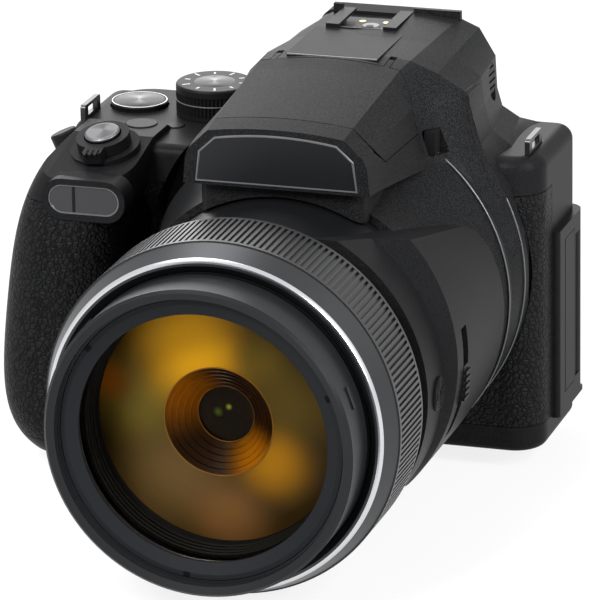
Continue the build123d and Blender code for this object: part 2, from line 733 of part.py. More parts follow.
def side_zone(gap):
    """Zone of the rubber on the front and side, right of the lens."""
    x = (LIGHT_R - gap, CASE_X[1] + OVER)
    return beyond(x=x, y=(CASE_Y[0] - OVER, SIDE_RUBBER_BACK + gap),
                  z=(SIDE_RUBBER_FOOT - gap, SKIN_TOP + gap))


def shell_low():
    """Walls of the case and the grip under their skin."""
    body = OUTER - CASE_HOLLOW - grip_clear()
    skins = SKIN & (skin_zone(FIT) + side_zone(FIT))
    skins -= rod(SHROUD_R, (SHROUD_FRONT, CASE_Y[0] + WALL), 0, SHROUD_Z)
    return body - skins + side_block()


def front_cover():
    body = shell_low() & beyond(y=(GRIP_FRONT - OVER, BACK_SPLIT), z=(BASE_SPLIT, TOP_SPLIT))
    body -= lamp_frame(FIT)
    body = less_shroud(body)
    body -= rod(LIGHT_R * 2, (SHROUD_FRONT, CASE_Y[0] + WALL + OVER))
    hump = HUMP & beyond(y=(SHROUD_FRONT, CASE_Y[0]))
    return body - hump


def side_rubber():
    """Rubber panel on the right front corner."""
    return (SKIN & side_zone(0.0)) - rod(SHROUD_R + FIT, (SHROUD_FRONT, CASE_Y[1]), 0, SHROUD_Z)


def grip_rubber():
    """Rubber on the grip and on the front beside the lens."""
    skin = (SKIN & skin_zone(0.0)) - rod(SHROUD_R + FIT, (SHROUD_FRONT, CASE_Y[1]), 0, SHROUD_Z)
    return skin - lamp_frame(FIT) - HUMP


def rear_cover():
    body = shell_low() & beyond(y=(BACK_SPLIT, CASE_Y[1] + OVER), z=(BASE_SPLIT, TOP_SPLIT))
    body += block(grown(LCD_X, WALL), (LCD_RECESS - WALL, CASE_Y[1]), grown(LCD_Z, WALL))
    body -= block((LCD_X[0] - FIT * 2, SIDE_RIGHT + OVER), (LCD_RECESS, CASE_Y[1] + OVER),
                  grown(LCD_Z, FIT * 2))
    body -= block((arm_axis()[0] - ARM_R - RUN, SIDE_RIGHT + OVER),
                  (LCD_RECESS - RUN, CASE_Y[1] + OVER), EAR_Z)
    ears = hinge_ears()
    body = body - ears + ears
    for at in (PLAY_AT, MENU_AT, DELETE_AT, DISPLAY_AT):
        body -= rod(BACK_KEY_R + FIT, (CASE_Y[1] - KEY_H, CASE_Y[1] + OVER), at[0], at[1])
    body += rod(SELECT_R, (CASE_Y[1] - WALL, CASE_Y[1] - WALL / 2), SELECT_AT[0], SELECT_AT[1])
    body -= rod(OK_R + FIT, (CASE_Y[1] - KEY_H - FIT, CASE_Y[1] + OVER), SELECT_AT[0], SELECT_AT[1])
    body -= rod(AF_R + FIT, (CASE_Y[1] - KEY_H - FIT, CASE_Y[1] + OVER), AF_AT[0], AF_AT[1])
    body -= flap_solid(FIT)
    body -= block((CASE_X[1] - JACK[0] - WALL, SIDE_RIGHT + OVER), grown(FLAP_Y, -FLAP_THICK),
                  grown(FLAP_Z, -WALL))
    return body


def arm_axis():
    return (SIDE_RIGHT - ARM_R, mean(LCD_Y))


def hinge_ears():
    """Two ears of the rear cover that hold the pins of the arm."""
    x, y = arm_axis()
    both = None
    for z in ((EAR_Z[0], ARM_Z[0] - FIT), (ARM_Z[1] + FIT, EAR_Z[1])):
        ear = post(ARM_R, z, x, y) + block((x - ARM_R, x + ARM_R), (LCD_RECESS - WALL, y), z)
        ear -= post(ARM_PIN_R + PIN_RUN, grown((ARM_Z[0] - ARM_PIN_L - FIT,
                                                ARM_Z[1] + ARM_PIN_L + FIT), 0), x, y)
        both = ear if both is None else both + ear
    return both & beyond(x=(x - ARM_R, SIDE_RIGHT))


def base_plate():
    body = OUTER & beyond(z=(-OVER, BASE_SPLIT))
    body -= CASE_HOLLOW
    body -= door_solid(FIT, (-OVER, DOOR_Z[1] + FIT))
    body -= grip_clear()
    body -= post(SOCKET_OUT_R + FIT, (-OVER, BASE_SPLIT + OVER), 0, 0)
    for x, y in SCREW_PLACES:
        body -= post(SCREW_HEAD_R + FIT, (-OVER, SCREW_HEAD + FIT), x, y)
        body -= post(SCREW_R + FIT, (-OVER, BASE_SPLIT + OVER), x, y)
    return less_shroud(body)


def flash_housing():
    body = HUMP - CASE - visor_clear()
    body += neck() & HUMP
    body -= rod(SHROUD_BORE_R, (HUMP_FRONT - OVER, SHROUD_BACK))
    body -= SHROUD
    body -= lid_region(0.0)
    body -= block((-BAY_HALF, BAY_HALF), BAY_Y, (BAY_FLOOR, TOP_Z + OVER))
    body -= bare_plate(FIT)
    body += block((-TOP_PLATE_HALF, TOP_PLATE_HALF), (TOP_PLATE_FRONT, SHOE_Y[0]),
                  (SHOE_FLOOR - WALL, LID_TOP_Z + HUMP_CROWN + TOP_PLATE_RISE))
    body += block((-TOP_PLATE_HALF, HUMP_HALF * 0.62), (HUMP_BACK - RIM_WIDTH, HUMP_BACK),
                  (SHOE_FLOOR - WALL, TOP_Z))
    body -= block((-SHOE_HALF - FIT, SHOE_HALF + FIT), (SHOE_Y[0] - FIT, HUMP_BACK + OVER),
                  (SHOE_FLOOR - SHOE_METAL, TOP_Z + OVER))
    body -= block((-EVF_HALF[0] - FIT, EVF_HALF[0] + FIT), (EVF_Y[0] - FIT, HUMP_BACK + OVER),
                  (EYE_Z - EVF_HALF[1] - FIT, EYE_Z + EVF_HALF[1] + FIT))
    body += eye_housing()
    x = hump_side()
    body -= bar(DIOPTER_R + FIT, (x - DIOPTER_THICK, x + OVER * 2), DIOPTER_Y, EYE_Z)
    y, z = FLASH_KEY_AT
    body -= block((flash_key_x() - KEY_H, flash_key_x() + OVER * 2),
                  (y - FLASH_KEY[0] / 2 - FIT, y + FLASH_KEY[0] / 2 + FIT),
                  (z - FLASH_KEY[1] / 2 - FIT, z + FLASH_KEY[1] / 2 + FIT))
    y, z = LID_PIVOT
    for side in (-1, 1):
        body -= block(grown(arm_x(side), FIT), (BAY_Y[1] - OVER, y + LID_EYE_R + RUN),
                      (z - LID_EYE_R - RUN, TOP_Z + OVER))
        body -= bar(LID_PIN_R + PIN_RUN, pin_x(side, FIT), y, z)
    return body


def eye_housing():
    """Housing of the eyepiece behind the hump, which rests on the rear edge of the deck."""
    body = panel((-EYE_HOUSING_HALF, EYE_HOUSING_HALF), (DECK_Z - CASE_TOP_ROUND, EYE_HOUSING_TOP),
                 (HUMP_BACK, EYE_HOUSING_BACK), EYE_CORNER)
    body -= block((-EYE_BORE[0], EYE_BORE[0]), (HUMP_BACK - OVER, EYE_HOUSING_BACK + OVER),
                  (EYE_Z - EYE_BORE[1], EYE_Z + EYE_BORE[1]))
    return body - CASE


def hump_side():
    """X of the hump's right side beside the viewfinder."""
    return HUMP_HALF * 0.865


def flash_key_x():
    return HUMP_HALF * 0.784


def flash_lid():
    """Lid of the pop-up flash with two arms that reach its pivot pins."""
    body = HUMP & lid_region(LID_GAP)
    inside = (-BAY_HALF + FIT, BAY_HALF - FIT)
    front = HUMP_FRONT + HUMP_BAND
    hollow = (Pos(0, 0, -LID_WALL) * HUMP) & block(inside, (front + LID_WALL, LID_REAR), (0, TOP_Z))
    window = block(grown(inside, -WALL), (front - OVER, front + OVER), (0, flash_head_z()[1] + FIT))
    body = body - hollow - window
    y, z = LID_PIVOT
    for side in (-1, 1):
        arm = block(arm_x(side), (LID_ARM_FRONT, y), (z - LID_EYE_R, TOP_Z))
        arm += bar(LID_EYE_R, arm_x(side), y, z)
        body += (arm & HUMP) + bar(LID_PIN_R, pin_x(side, 0), y, z)
    return body


def flash_head_z():
    return (BAY_FLOOR + WALL * 1.5, LID_CORNER_Z[1])


def flash_head():
    """Reflector and tube behind the window in the lid's front edge."""
    x = grown((-BAY_HALF, BAY_HALF), -WALL * 1.5)
    front = HUMP_FRONT + HUMP_BAND + LID_WALL * 2
    y = (front, front + WALL * 3)
    z = flash_head_z()
    shell = block(x, y, z)
    shell -= block(grown(x, -WALL / 2), (y[0] - OVER, y[1] - WALL), grown(z, -WALL / 2))
    for side in (-1, 1):
        at = side * span(x) / 3
        foot = block((at - WALL, at + WALL), (y[1] - WALL * 1.5, y[1]), (z[1] - WALL / 2, TOP_Z))
        shell += foot & (Pos(0, 0, -LID_WALL) * HUMP)
    return shell + bar(WALL / 2, grown(x, -WALL / 4), mean((y[0], y[1] - WALL)), mean(z))


def bare_plate(gap):
    """Eight-cornered plate on the front of the hump; with a gap, the pocket that holds it."""
    y = (HUMP_FRONT - OVER, HUMP_FRONT + PLATE_THICK + gap) if gap else (HUMP_FRONT + gap,
                                                                         HUMP_FRONT + PLATE_THICK)
    z = (PLATE_Z[0] + gap, PLATE_Z[1] + gap / 2, PLATE_Z[2] - gap)
    half = [w + gap for w in PLATE_HALF]
    points = [(half[0], z[0]), (half[1], z[1]), (half[2], z[2])]
    points += [(-x, v) for x, v in points[::-1]]
    top = ThreePointArc((-half[0], y[0], z[0]), (0, y[0], z[0] + HUMP_CROWN), (half[0], y[0], z[0]))
    face = make_face([top, Polyline(*[(x, y[0], v) for x, v in points])])
    return extrude(face, span(y), dir=(0, 1, 0))


def name_plate():
    """Plate on the front of the hump, left bare."""
    return bare_plate(0)


def hot_shoe():
    """Metal floor with two rails, a leaf spring and its contacts."""
    floor_top = SHOE_FLOOR
    x = (-SHOE_HALF, SHOE_HALF)
    body = block(x, SHOE_Y, (floor_top - SHOE_METAL, floor_top))
    top = floor_top + SHOE_SLOT_H
    for side in (-1, 1):
        outer = side * SHOE_HALF
        inner = side * SHOE_SLOT_HALF
        lip = side * SHOE_MOUTH_HALF
        body += block((min(outer, inner), max(outer, inner)), SHOE_Y,
                      (floor_top - SHOE_METAL, top + SHOE_METAL))
        body += block((min(outer, lip), max(outer, lip)), SHOE_Y, (top, top + SHOE_METAL))
    front = block(x, (SHOE_Y[0], SHOE_Y[0] + SHOE_METAL), (floor_top - SHOE_METAL, top))
    body += front
    for at in ((0, 0), (-2.4, 1.6), (2.4, 1.6), (2.4, 3.2)):
        body += post(CONTACT_R, (floor_top, floor_top + SHOE_SPRING),
                     at[0] * CONTACT_R, mean(SHOE_Y) - at[1] * CONTACT_R)
    return body


def evf_module():
    x = (-EVF_HALF[0], EVF_HALF[0])
    z = (EYE_Z - EVF_HALF[1], EYE_Z + EVF_HALF[1])
    body = block(x, EVF_Y, z)
    return body - block(grown(x, -WALL), (EVF_Y[1] - OVER, EVF_Y[1] + OVER), grown(z, -WALL))


def eyepiece_lens():
    y = (EYE_HOUSING_BACK - EYE_LENS_THICK, EYE_HOUSING_BACK - FIT)
    body = panel((-EYE_BORE[0] + FIT, EYE_BORE[0] - FIT),
                 (EYE_Z - EYE_BORE[1] + FIT, EYE_Z + EYE_BORE[1] - FIT),
                 y, EYE_CORNER / 2)
    return body


def eyecup():
    """Soft cup whose rim stands out behind the eyepiece."""
    y = (EYE_HOUSING_BACK + FIT, EYE_BACK)
    z = (EYE_Z - EYECUP_HALF[1], EYE_Z + EYECUP_HALF[1])
    body = panel((-EYECUP_HALF[0], EYECUP_HALF[0]), z, y, EYE_CORNER * 1.6)
    body = rounded(body, body.faces().sort_by(Axis.Y)[-1].edges(), EYE_CORNER)
    near = Plane((0, y[0], EYE_Z), x_dir=(1, 0, 0), z_dir=(0, 1, 0)) * RectangleRounded(
        EYE_BORE[0] * 2, EYE_BORE[1] * 2, EYE_CORNER / 2)
    far = Plane((0, y[1], EYE_Z), x_dir=(1, 0, 0), z_dir=(0, 1, 0)) * RectangleRounded(
        EYECUP_HOLE[0] * 2, EYECUP_HOLE[1] * 2, EYE_CORNER)
    return body - loft([near, far])


def diopter_knob():
    x = hump_side()
    body = bar(DIOPTER_R, (x - DIOPTER_THICK + FIT, x + WALL / 2), DIOPTER_Y, EYE_Z)
    for i in range(-2, 3):
        body -= block((x + WALL / 4, x + WALL), (DIOPTER_Y - DIOPTER_R, DIOPTER_Y + DIOPTER_R),
                      (EYE_Z + (i * 2 - 0.35) * WALL / 2, EYE_Z + (i * 2 + 0.35) * WALL / 2))
    return body


def flash_button():
    y, z = FLASH_KEY_AT
    x = flash_key_x()
    return block((x - KEY_H + KEY_TRAVEL, x + KEY_PROUD * 1.4),
                 (y - FLASH_KEY[0] / 2, y + FLASH_KEY[0] / 2),
                 (z - FLASH_KEY[1] / 2, z + FLASH_KEY[1] / 2))


# Lens


def fixed_barrel():
    body = tube(BARREL_R, BARREL_BORE_R, (RING_Y[1] + FIT, BARREL_BACK))
    body += tube(SLEEVE_R - RUN, BARREL_BORE_R, (SLEEVE_FRONT, RING_Y[1] + FIT + WALL / 2)) - rod(
        BARREL_BORE_R, (SLEEVE_FRONT - OVER, BARREL_BACK))
    body += tube(BARREL_R, LIGHT_R, (BARREL_BACK - BARREL_CAP, BARREL_BACK))
    return body


def control_ring():
    """Ring with fine ribs along the axis between two plain rims."""
    body = tube(RING_R - RIB_DEPTH, SLEEVE_R, grown(RING_Y, -FIT))
    for y in ((RING_Y[0] + FIT, RING_Y[0] + RIB_END), (RING_Y[1] - RIB_END, RING_Y[1] - FIT)):
        body += tube(RING_R, SLEEVE_R, y)
    rib = block((RING_R - RIB_DEPTH - FIT, RING_R), (RING_Y[0] + RIB_END, RING_Y[1] - RIB_END),
                (AXIS_Z - RIB_WIDTH / 2, AXIS_Z + RIB_WIDTH / 2))
    ribs = [rib.rotate(LENS_AXIS, 360 * i / RIB_COUNT) for i in range(RIB_COUNT)]
    return body.fuse(*ribs)


def trim_ring():
    """Cone in front of the ribbed ring that ends in a bright edge."""
    return spun([(BARREL_BORE_R, RING_Y[0]), (TRIM_BACK_R, RING_Y[0]),
                 (TRIM_FRONT_R + TRIM_LIP / 2, TRIM_FRONT + TRIM_LIP),
                 (TRIM_FRONT_R, TRIM_FRONT), (TRIM_FRONT_R - TRIM_LIP, TRIM_FRONT),
                 (BARREL_BORE_R, TRIM_FRONT + TRIM_LIP)]) - tube(SLEEVE_R, BARREL_BORE_R - OVER,
                                                                 (SLEEVE_FRONT, RING_Y[0] + FIT))


def rear_stage_r():
    return BARREL_BORE_R - RUN


def front_stage_r():
    return rear_stage_r() - STAGE_WALL - RUN


def zoom_barrel_rear():
    return tube(rear_stage_r(), rear_stage_r() - STAGE_WALL, (TRIM_FRONT + TRIM_LIP, STAGE_BACK))


def zoom_barrel_front():
    """Front stage: tube, front ring with the filter thread, lens seat and inner cell."""
    outer = front_stage_r()
    body = tube(outer, outer - STAGE_WALL, (FRONT_TUBE_BACK, STAGE_BACK - FIT))
    seat = LENS_FRONT + THREAD_LEN + RETAINER_DEPTH
    body += spun([(THREAD_R, LENS_FRONT + LUG_DEPTH), (FRONT_R - LUG_DEPTH, LENS_FRONT),
                  (FRONT_R, LENS_FRONT + LUG_DEPTH),
                  (FRONT_R, FRONT_TUBE_BACK), (outer - STAGE_WALL, FRONT_TUBE_BACK),
                  (outer - STAGE_WALL, seat + GLASS_EDGE),
                  (GLASS_R, seat + GLASS_EDGE + RUN), (RETAINER_R, seat),
                  (RETAINER_R, LENS_FRONT + THREAD_LEN), (THREAD_R, LENS_FRONT + THREAD_LEN)])
    for angle in LUG_ANGLES:
        lug = block((FRONT_R - LUG_DEPTH * 2, FRONT_R + LUG_DEPTH / 2),
                    (LENS_FRONT + WALL * 3, LENS_FRONT + WALL * 3.6),
                    (AXIS_Z - WALL * 1.5, AXIS_Z + WALL * 1.5))
        body += lug.rotate(LENS_AXIS, angle)
    inside = outer - STAGE_WALL / 2
    back = INNER_LENS_Y + INNER_LENS_EDGE
    body += tube(inside, INNER_LENS_R, (INNER_LENS_Y, back + FIT))
    body += tube(inside, INNER_LENS_R - CELL_WALL, (back + FIT, back + FIT + CELL_WALL))
    return body


def retaining_ring():
    y = LENS_FRONT + THREAD_LEN + FIT
    back = y + RETAINER_DEPTH - FIT * 2
    return spun([(RETAINER_R - FIT, y), (RETAINER_R - FIT, back), (GLASS_R - WALL / 2, back),
                 (GLASS_R - WALL / 2, y + RETAINER_DEPTH / 2), (GLASS_R + WALL, y)])


def front_lens():
    seat = LENS_FRONT + THREAD_LEN + RETAINER_DEPTH
    return dome(GLASS_R - FIT, WALL / 2, seat, GLASS_EDGE, GLASS_SAG, GLASS_BACK_SAG)


def inner_lens():
    return dome(INNER_LENS_R - FIT, 0, INNER_LENS_Y, INNER_LENS_EDGE, INNER_LENS_SAG, INNER_LENS_SAG)


def cam_ring():
    """Turning tube with slanted slots that drives the stages."""
    outer = front_stage_r() - STAGE_WALL - RUN
    y = (TRIM_FRONT + OVER * 3, CAM_BACK)
    body = tube(outer, outer - STAGE_WALL, y)
    for i in range(CAM_SLOTS):
        slot = Pos(outer, mean(y), AXIS_Z) * Rot(35, 0, 0) * Box(STAGE_WALL * 6, span(y) * 0.55,
                                                                 CAM_SLOT_WIDTH)
        body -= slot.rotate(LENS_AXIS, 360 * i / CAM_SLOTS)
    return body


def aperture_unit():
    """Iris case round a plate with a many-sided opening."""
    body = tube(APERTURE_R, APERTURE_R * 0.62, APERTURE_Y)
    body -= tube(APERTURE_R * 0.82, APERTURE_R * 0.5, grown(APERTURE_Y, -WALL))
    middle = mean(APERTURE_Y)
    plane = Plane((0, middle - WALL / 4, AXIS_Z), x_dir=(1, 0, 0), z_dir=(0, 1, 0))
    opening = extrude(plane * RegularPolygon(APERTURE_R * 0.42, BLADE_COUNT), WALL, dir=(0, 1, 0))
    return body + (rod(APERTURE_R * 0.9, (middle - WALL / 4, middle + WALL / 4)) - Pos(0, -WALL / 4,
                                                                                       0) * opening)


def focus_group():
    """Focusing lenses in their holder, on two guide bars' bosses."""
    body = tube(FOCUS_R, FOCUS_R - WALL, FOCUS_Y)
    return body + rod(FOCUS_R - WALL / 2, (mean(FOCUS_Y) - WALL, mean(FOCUS_Y) + WALL))


def focus_rails():
    """Two guide bars from the rear plate of the barrel to the iris."""
    rails = None
    for side in (-1, 1):
        bar_y = (APERTURE_Y[1], BARREL_BACK - BARREL_CAP)
        one = rod(WALL / 2, bar_y, side * (FOCUS_R + WALL * 0.5 + RUN), AXIS_Z)
        rails = one if rails is None else rails + one
    return rails


def pod_arc(radius, inner, y, angles):
    """Part of a tube round the lens axis between two angles, counted up from +X."""
    body = tube(radius, inner, y)
    reach = radius * 3
    low, high = (radians(a) for a in angles)
    wedge = make_face(Polyline((0, y[0] - OVER, AXIS_Z),
                               (reach * cos(low), y[0] - OVER, AXIS_Z + reach * sin(low)),
                               (reach, y[0] - OVER, AXIS_Z),
                               (reach * cos(high), y[0] - OVER, AXIS_Z + reach * sin(high)),
                               close=True))
    return body & extrude(wedge, span(y) + OVER * 2, dir=(0, 1, 0))


def on_pod(angle, y, radius):
    """Frame on the pod: its Z points away from the lens axis."""
    a = radians(angle)
    return Pos(radius * cos(a), y, AXIS_Z + radius * sin(a)) * Rot(0, 90 - angle, 0)


def pod_prism():
    """Prism across the camera with the outline of the pod."""
    corners = [(0, y, z) for y, z in POD_OUTLINE]
    return extrude(make_face(Polyline(*corners, close=True)), POD_R + OVER, dir=(1, 0, 0))


def control_pod():
    """Raised field on the barrel and the flare with the seats of its button and slider."""
    body = loft([ring_face(POD_Y[0], POD_FRONT_R, 0), ring_face(POD_RIDGE_Y[0], POD_FRONT_R, 0),
                 ring_face(POD_RIDGE_Y[1], POD_R, POD_RISE), ring_face(POD_Y[1], POD_R, POD_RISE)],
                ruled=True)
    body -= rod(BARREL_R + FIT, grown(POD_Y, OVER))
    body = (body & pod_prism()) - SHROUD
    well = KEY_H * 2 + KEY_TRAVEL * 1.5
    body -= on_pod(POD_BUTTON_ANGLE, POD_BUTTON_Y, POD_FRONT_R) * Cylinder(POD_BUTTON_R + FIT, well)
    gap = SLIDER_SIZE[0] + SLIDER_SWING * 2
    body -= pod_arc(POD_R + OVER, SLIDER_R - SLIDER_SIZE[2], (POD_SLIDER_Y - SLIDER_SIZE[1] / 2 - FIT,
                                                         POD_SLIDER_Y + SLIDER_SIZE[1] / 2 + FIT),
                    (POD_SLIDER_ANGLE - gap, POD_SLIDER_ANGLE + gap))
    return body


def snap_back_button():
    body = on_pod(POD_BUTTON_ANGLE, POD_BUTTON_Y,
                  POD_FRONT_R - KEY_H / 2 + KEY_PROUD / 2) * Cylinder(POD_BUTTON_R, KEY_H)
    return body


def side_zoom_slider():
    """Ribbed slider that moves along the pod."""
    low = SLIDER_R - SLIDER_SIZE[2] + FIT
    half = SLIDER_SIZE[0] * 0.62
    y = (POD_SLIDER_Y - SLIDER_SIZE[1] / 2, POD_SLIDER_Y + SLIDER_SIZE[1] / 2)
    body = pod_arc(SLIDER_R + KEY_PROUD / 2, low, y, (POD_SLIDER_ANGLE - half, POD_SLIDER_ANGLE + half))
    for i in range(-2, 3):
        middle = POD_SLIDER_ANGLE + i * half / 3
        body += pod_arc(SLIDER_R + KEY_PROUD * 1.3, low, y, (middle - half / 12, middle + half / 12))
    return body


# Controls


def shutter_button():
    low = BOSS_H - WELL + SHUTTER_TRAVEL / 2
    return shutter_frame() * key_at(SHUTTER_R, (low, low + SHUTTER_H + LEVER_H - SHUTTER_TRAVEL))


def key_at(radius, z):
    return key(radius, 0, 0, z)


def zoom_lever():
    z = (BOSS_H + FIT, BOSS_H + LEVER_H)
    body = post(LEVER_R, z, 0, 0)
    tab = block((-LEVER_TAB[0] / 2, LEVER_TAB[0] / 2), (-LEVER_R - LEVER_TAB[1] / 2, 0), z)
    body += rounded(tab, tab.edges().filter_by(Axis.Z), WALL / 2)
    body -= post(SHUTTER_R + FIT * 1.5, grown(z, OVER), 0, 0)
    return shutter_frame() * body


def platform_z():
    """Height of the flat behind the shutter button."""
    return DECK_Z + PLATFORM_LINE[1][1]


def deck_key(radius, at, top):
    return key(radius, at[0], at[1], (top - KEY_H + KEY_TRAVEL, top + KEY_PROUD / 3))


def power_button():
    return deck_key(POWER_R, POWER_AT, platform_z())


def movie_button():
    return deck_key(MOVIE_R, MOVIE_AT, DECK_Z)


def function_button():
    low = -KEY_H + KEY_TRAVEL
    return fn_frame() * key(FN_R, 0, 0, (low + KEY_TRAVEL, KEY_H + KEY_PROUD / 2))


def dial(radius, height, at, low):
    """Knurled dial with a spindle in the deck."""
    body = post(radius, (low + FIT, low + height), at[0], at[1])
    body = fillet(body.edges().group_by(Axis.Z)[-1], KNURL_DEPTH * 2)
    tooth = Pos(at[0] + radius, at[1], low + height * 0.45) * Rot(0, 0, 45) * Box(
        KNURL_DEPTH * 2, KNURL_DEPTH * 2, height * 0.62)
    teeth = [tooth.rotate(Axis((at[0], at[1], 0), (0, 0, 1)),
                          360 * i / KNURL_COUNT) for i in range(KNURL_COUNT)]
    body = body.cut(*teeth)
    return body + post(SPINDLE_R, (DECK_Z - SPINDLE_L, low + FIT + WALL / 2), at[0], at[1])


def mode_dial():
    return dial(MODE_R, MODE_H, MODE_AT, DECK_Z)


def command_dial():
    return dial(COMMAND_R, COMMAND_H, COMMAND_AT, DECK_Z - WALL / 2)


def back_key(at, radius=BACK_KEY_R):
    y = (CASE_Y[1] - KEY_H + KEY_TRAVEL, CASE_Y[1] + KEY_PROUD)
    body = rod(radius, y, at[0], at[1])
    return fillet(body.edges().group_by(Axis.Y)[-1], KEY_PROUD / 2)


def selector_dial():
    y = (CASE_Y[1] + FIT, CASE_Y[1] + KEY_PROUD * 1.4)
    body = rod(SELECT_R, y, SELECT_AT[0], SELECT_AT[1])
    body = fillet(body.edges().group_by(Axis.Y)[-1], KEY_PROUD / 3)
    return body - rod(SELECT_BORE, grown(y, OVER), SELECT_AT[0], SELECT_AT[1])


def focus_mode_lever():
    y = (CASE_Y[1] + FIT, CASE_Y[1] + KEY_PROUD * 1.4)
    body = rod(AF_RING_R, y, AF_AT[0], AF_AT[1])
    body += block((AF_AT[0] + AF_RING_R - WALL, AF_AT[0] + AF_RING_R + AF_GRIP[1] / 2),
                  (y[0], y[1] + KEY_PROUD),
                  (AF_AT[1] - AF_GRIP[0] / 2, AF_AT[1] + AF_GRIP[0] / 2))
    return body - rod(AF_R + FIT, grown(y, OVER), AF_AT[0], AF_AT[1])


# Screen and its arm


def lcd_screen():
    """Housing of the screen, hollow behind its glass, with a bore for the arm's stub."""
    body = panel(LCD_X, LCD_Z, LCD_Y, LCD_CORNER)
    body -= panel(grown(LCD_X, -LCD_BEZEL), grown(LCD_Z, -LCD_BEZEL),
                  (LCD_Y[1] - LCD_GLASS_THICK - FIT, LCD_Y[1] + OVER),
                  LCD_CORNER / 2)
    body -= bar(STUB_R + PIN_RUN, (LCD_X[1] - STUB_L, LCD_X[1] + OVER), mean(LCD_Y), mean(LCD_Z))
    x, y = arm_axis()
    return body - block((x - ARM_R - FIT, SIDE_RIGHT), (LCD_Y[0] - OVER, LCD_Y[1] + OVER),
                        grown(LCD_Z, OVER))


def lcd_glass():
    return panel(grown(LCD_X, -LCD_BEZEL - FIT), grown(LCD_Z, -LCD_BEZEL - FIT),
                 (LCD_Y[1] - LCD_GLASS_THICK, LCD_Y[1]),
                 LCD_CORNER / 2)


def lcd_arm():
    """Upright hinge post with pins at both ends and a stub that carries the screen."""
    x, y = arm_axis()
    body = post(ARM_R, ARM_Z, x, y)
    body += post(ARM_PIN_R, grown(ARM_Z, ARM_PIN_L), x, y)
    body += bar(STUB_R, (LCD_X[1] - STUB_L + FIT, x), y, mean(LCD_Z))
    return body


# Sides, straps, base and inside


def flap_solid(gap):
    """Pocket of the flap in the raised block."""
    return block((SIDE_RIGHT - FLAP_THICK - gap, SIDE_RIGHT + FLAP_THICK), grown(FLAP_Y, gap),
                 grown(FLAP_Z, gap))


def connector_cover():
    """Flap over the jacks with a round hinge edge at its front."""
    x = (SIDE_RIGHT - FLAP_THICK, SIDE_RIGHT)
    hinge_y = FLAP_Y[0] + FLAP_THICK / 2
    return block(x, (hinge_y, FLAP_Y[1]), FLAP_Z) + post(FLAP_THICK / 2, FLAP_Z, mean(x), hinge_y)


def jacks():
    """Jacks soldered to the edge of the main board, behind the flap."""
    body = None
    x = (SIDE_RIGHT - FLAP_THICK - FIT * 2 - JACK[0], SIDE_RIGHT - FLAP_THICK - FIT * 2)
    for z in JACK_Z:
        y = (mean(FLAP_Y) - JACK[1] / 2, mean(FLAP_Y) + JACK[1] / 2)
        jack = block(x, y, (z - JACK[2] / 2, z + JACK[2] / 2))
        jack -= block((x[0] + WALL, x[1] + OVER), grown(y, -WALL / 2),
                      (z - JACK[2] / 2 + WALL / 2, z + JACK[2] / 2 - WALL / 2))
        body = jack if body is None else body + jack
    return body


def strap_lugs():
    """Two upright plates with a slot for the strap."""
    both = None
    for x in (LUG_RIGHT_X, LUG_LEFT_X):
        z = (DECK_Z - LUG_ROOT + FIT, DECK_Z + LUG_RISE)
        y = grown(LUG_Y, -FIT)
        plate = block((x - LUG_THICK / 2, x + LUG_THICK / 2), y, z)
        plate = fillet(plate.edges().filter_by(Axis.X).group_by(Axis.Z)[-1], WALL / 2)
        slot = block((x - OVER, x + OVER), (mean(y) - LUG_SLOT[0] / 2, mean(y) + LUG_SLOT[0] / 2),
                     (DECK_Z + LUG_RISE - WALL / 2 - LUG_SLOT[1], DECK_Z + LUG_RISE - WALL / 2))
        plate -= slot
        both = plate if both is None else both + plate
    return both


def tripod_socket():
    body = post(SOCKET_OUT_R, (0, SOCKET_LEN), 0, 0)
    return body - post(SOCKET_R, (-OVER, SOCKET_DEPTH), 0, 0)


def door_solid(gap, z):
    """Outline of the battery door with rounded corners away from its hinge."""
    outline = slab((DOOR_X[0] - gap, DOOR_X[1] + DOOR_CORNER * 2), grown(DOOR_Y, gap), z, DOOR_CORNER)
    return outline & beyond(x=(DOOR_X[0] - OVER, DOOR_X[1] + gap))


def battery_door():
    """Door with a round hinge edge on its inner side and a finger notch."""
    radius = span(DOOR_Z) / 2
    hinge_x = DOOR_X[1] - radius
    body = door_solid(0, DOOR_Z) & beyond(x=(DOOR_X[0] - OVER, hinge_x))
    body += rod(radius, DOOR_Y, hinge_x, mean(DOOR_Z))
    return body - block((DOOR_X[0] + WALL, DOOR_X[0] + WALL * 2),
                        grown((mean(DOOR_Y), mean(DOOR_Y)), OVER),
                        (DOOR_Z[0] - OVER, DOOR_Z[0] + WALL / 3))


def battery():
    body = block(BATTERY_X, BATTERY_Y, BATTERY_Z)
    return rounded(body, body.edges().filter_by(Axis.Z), WALL)


def chassis():
    """Metal frame that ties lens, sensor and tripod socket together."""
    body = block(CHASSIS_X, CHASSIS_Y, CHASSIS_Z)
    body += block(CHASSIS_X, (CHASSIS_Y[0], CHASSIS_Y[0] + CHASSIS_FOOT),
                  (CHASSIS_Z[0], CHASSIS_Z[0] + WALL * 0.75))
    body -= rod(LIGHT_R, grown(CHASSIS_Y, OVER))
    body -= post(SOCKET_OUT_R + FIT, (-OVER, SOCKET_LEN + OVER), 0, 0)
    for x, y in SCREW_PLACES:
        body -= post(SCREW_R + FIT, (-OVER, SCREW_L + OVER), x, y)
    for x in grown(BOARD_X, -STANDOFF_R * 2):
        for z in grown(BOARD_Z, -STANDOFF_R * 2):
            body += rod(STANDOFF_R, (CHASSIS_Y[0], BOARD_Y[0]), x, z)
    return body


def sensor_unit():
    board = (SENSOR_Y, SENSOR_Y + SENSOR_THICK)
    half = SENSOR_BOARD_HALF
    body = block((-half, half), board, (AXIS_Z - half, AXIS_Z + half))
    inner = SENSOR_HALF
    return body + block((-inner, inner), (SENSOR_Y - SENSOR_THICK / 2, SENSOR_Y),
                        (AXIS_Z - inner * 0.75, AXIS_Z + inner * 0.75))


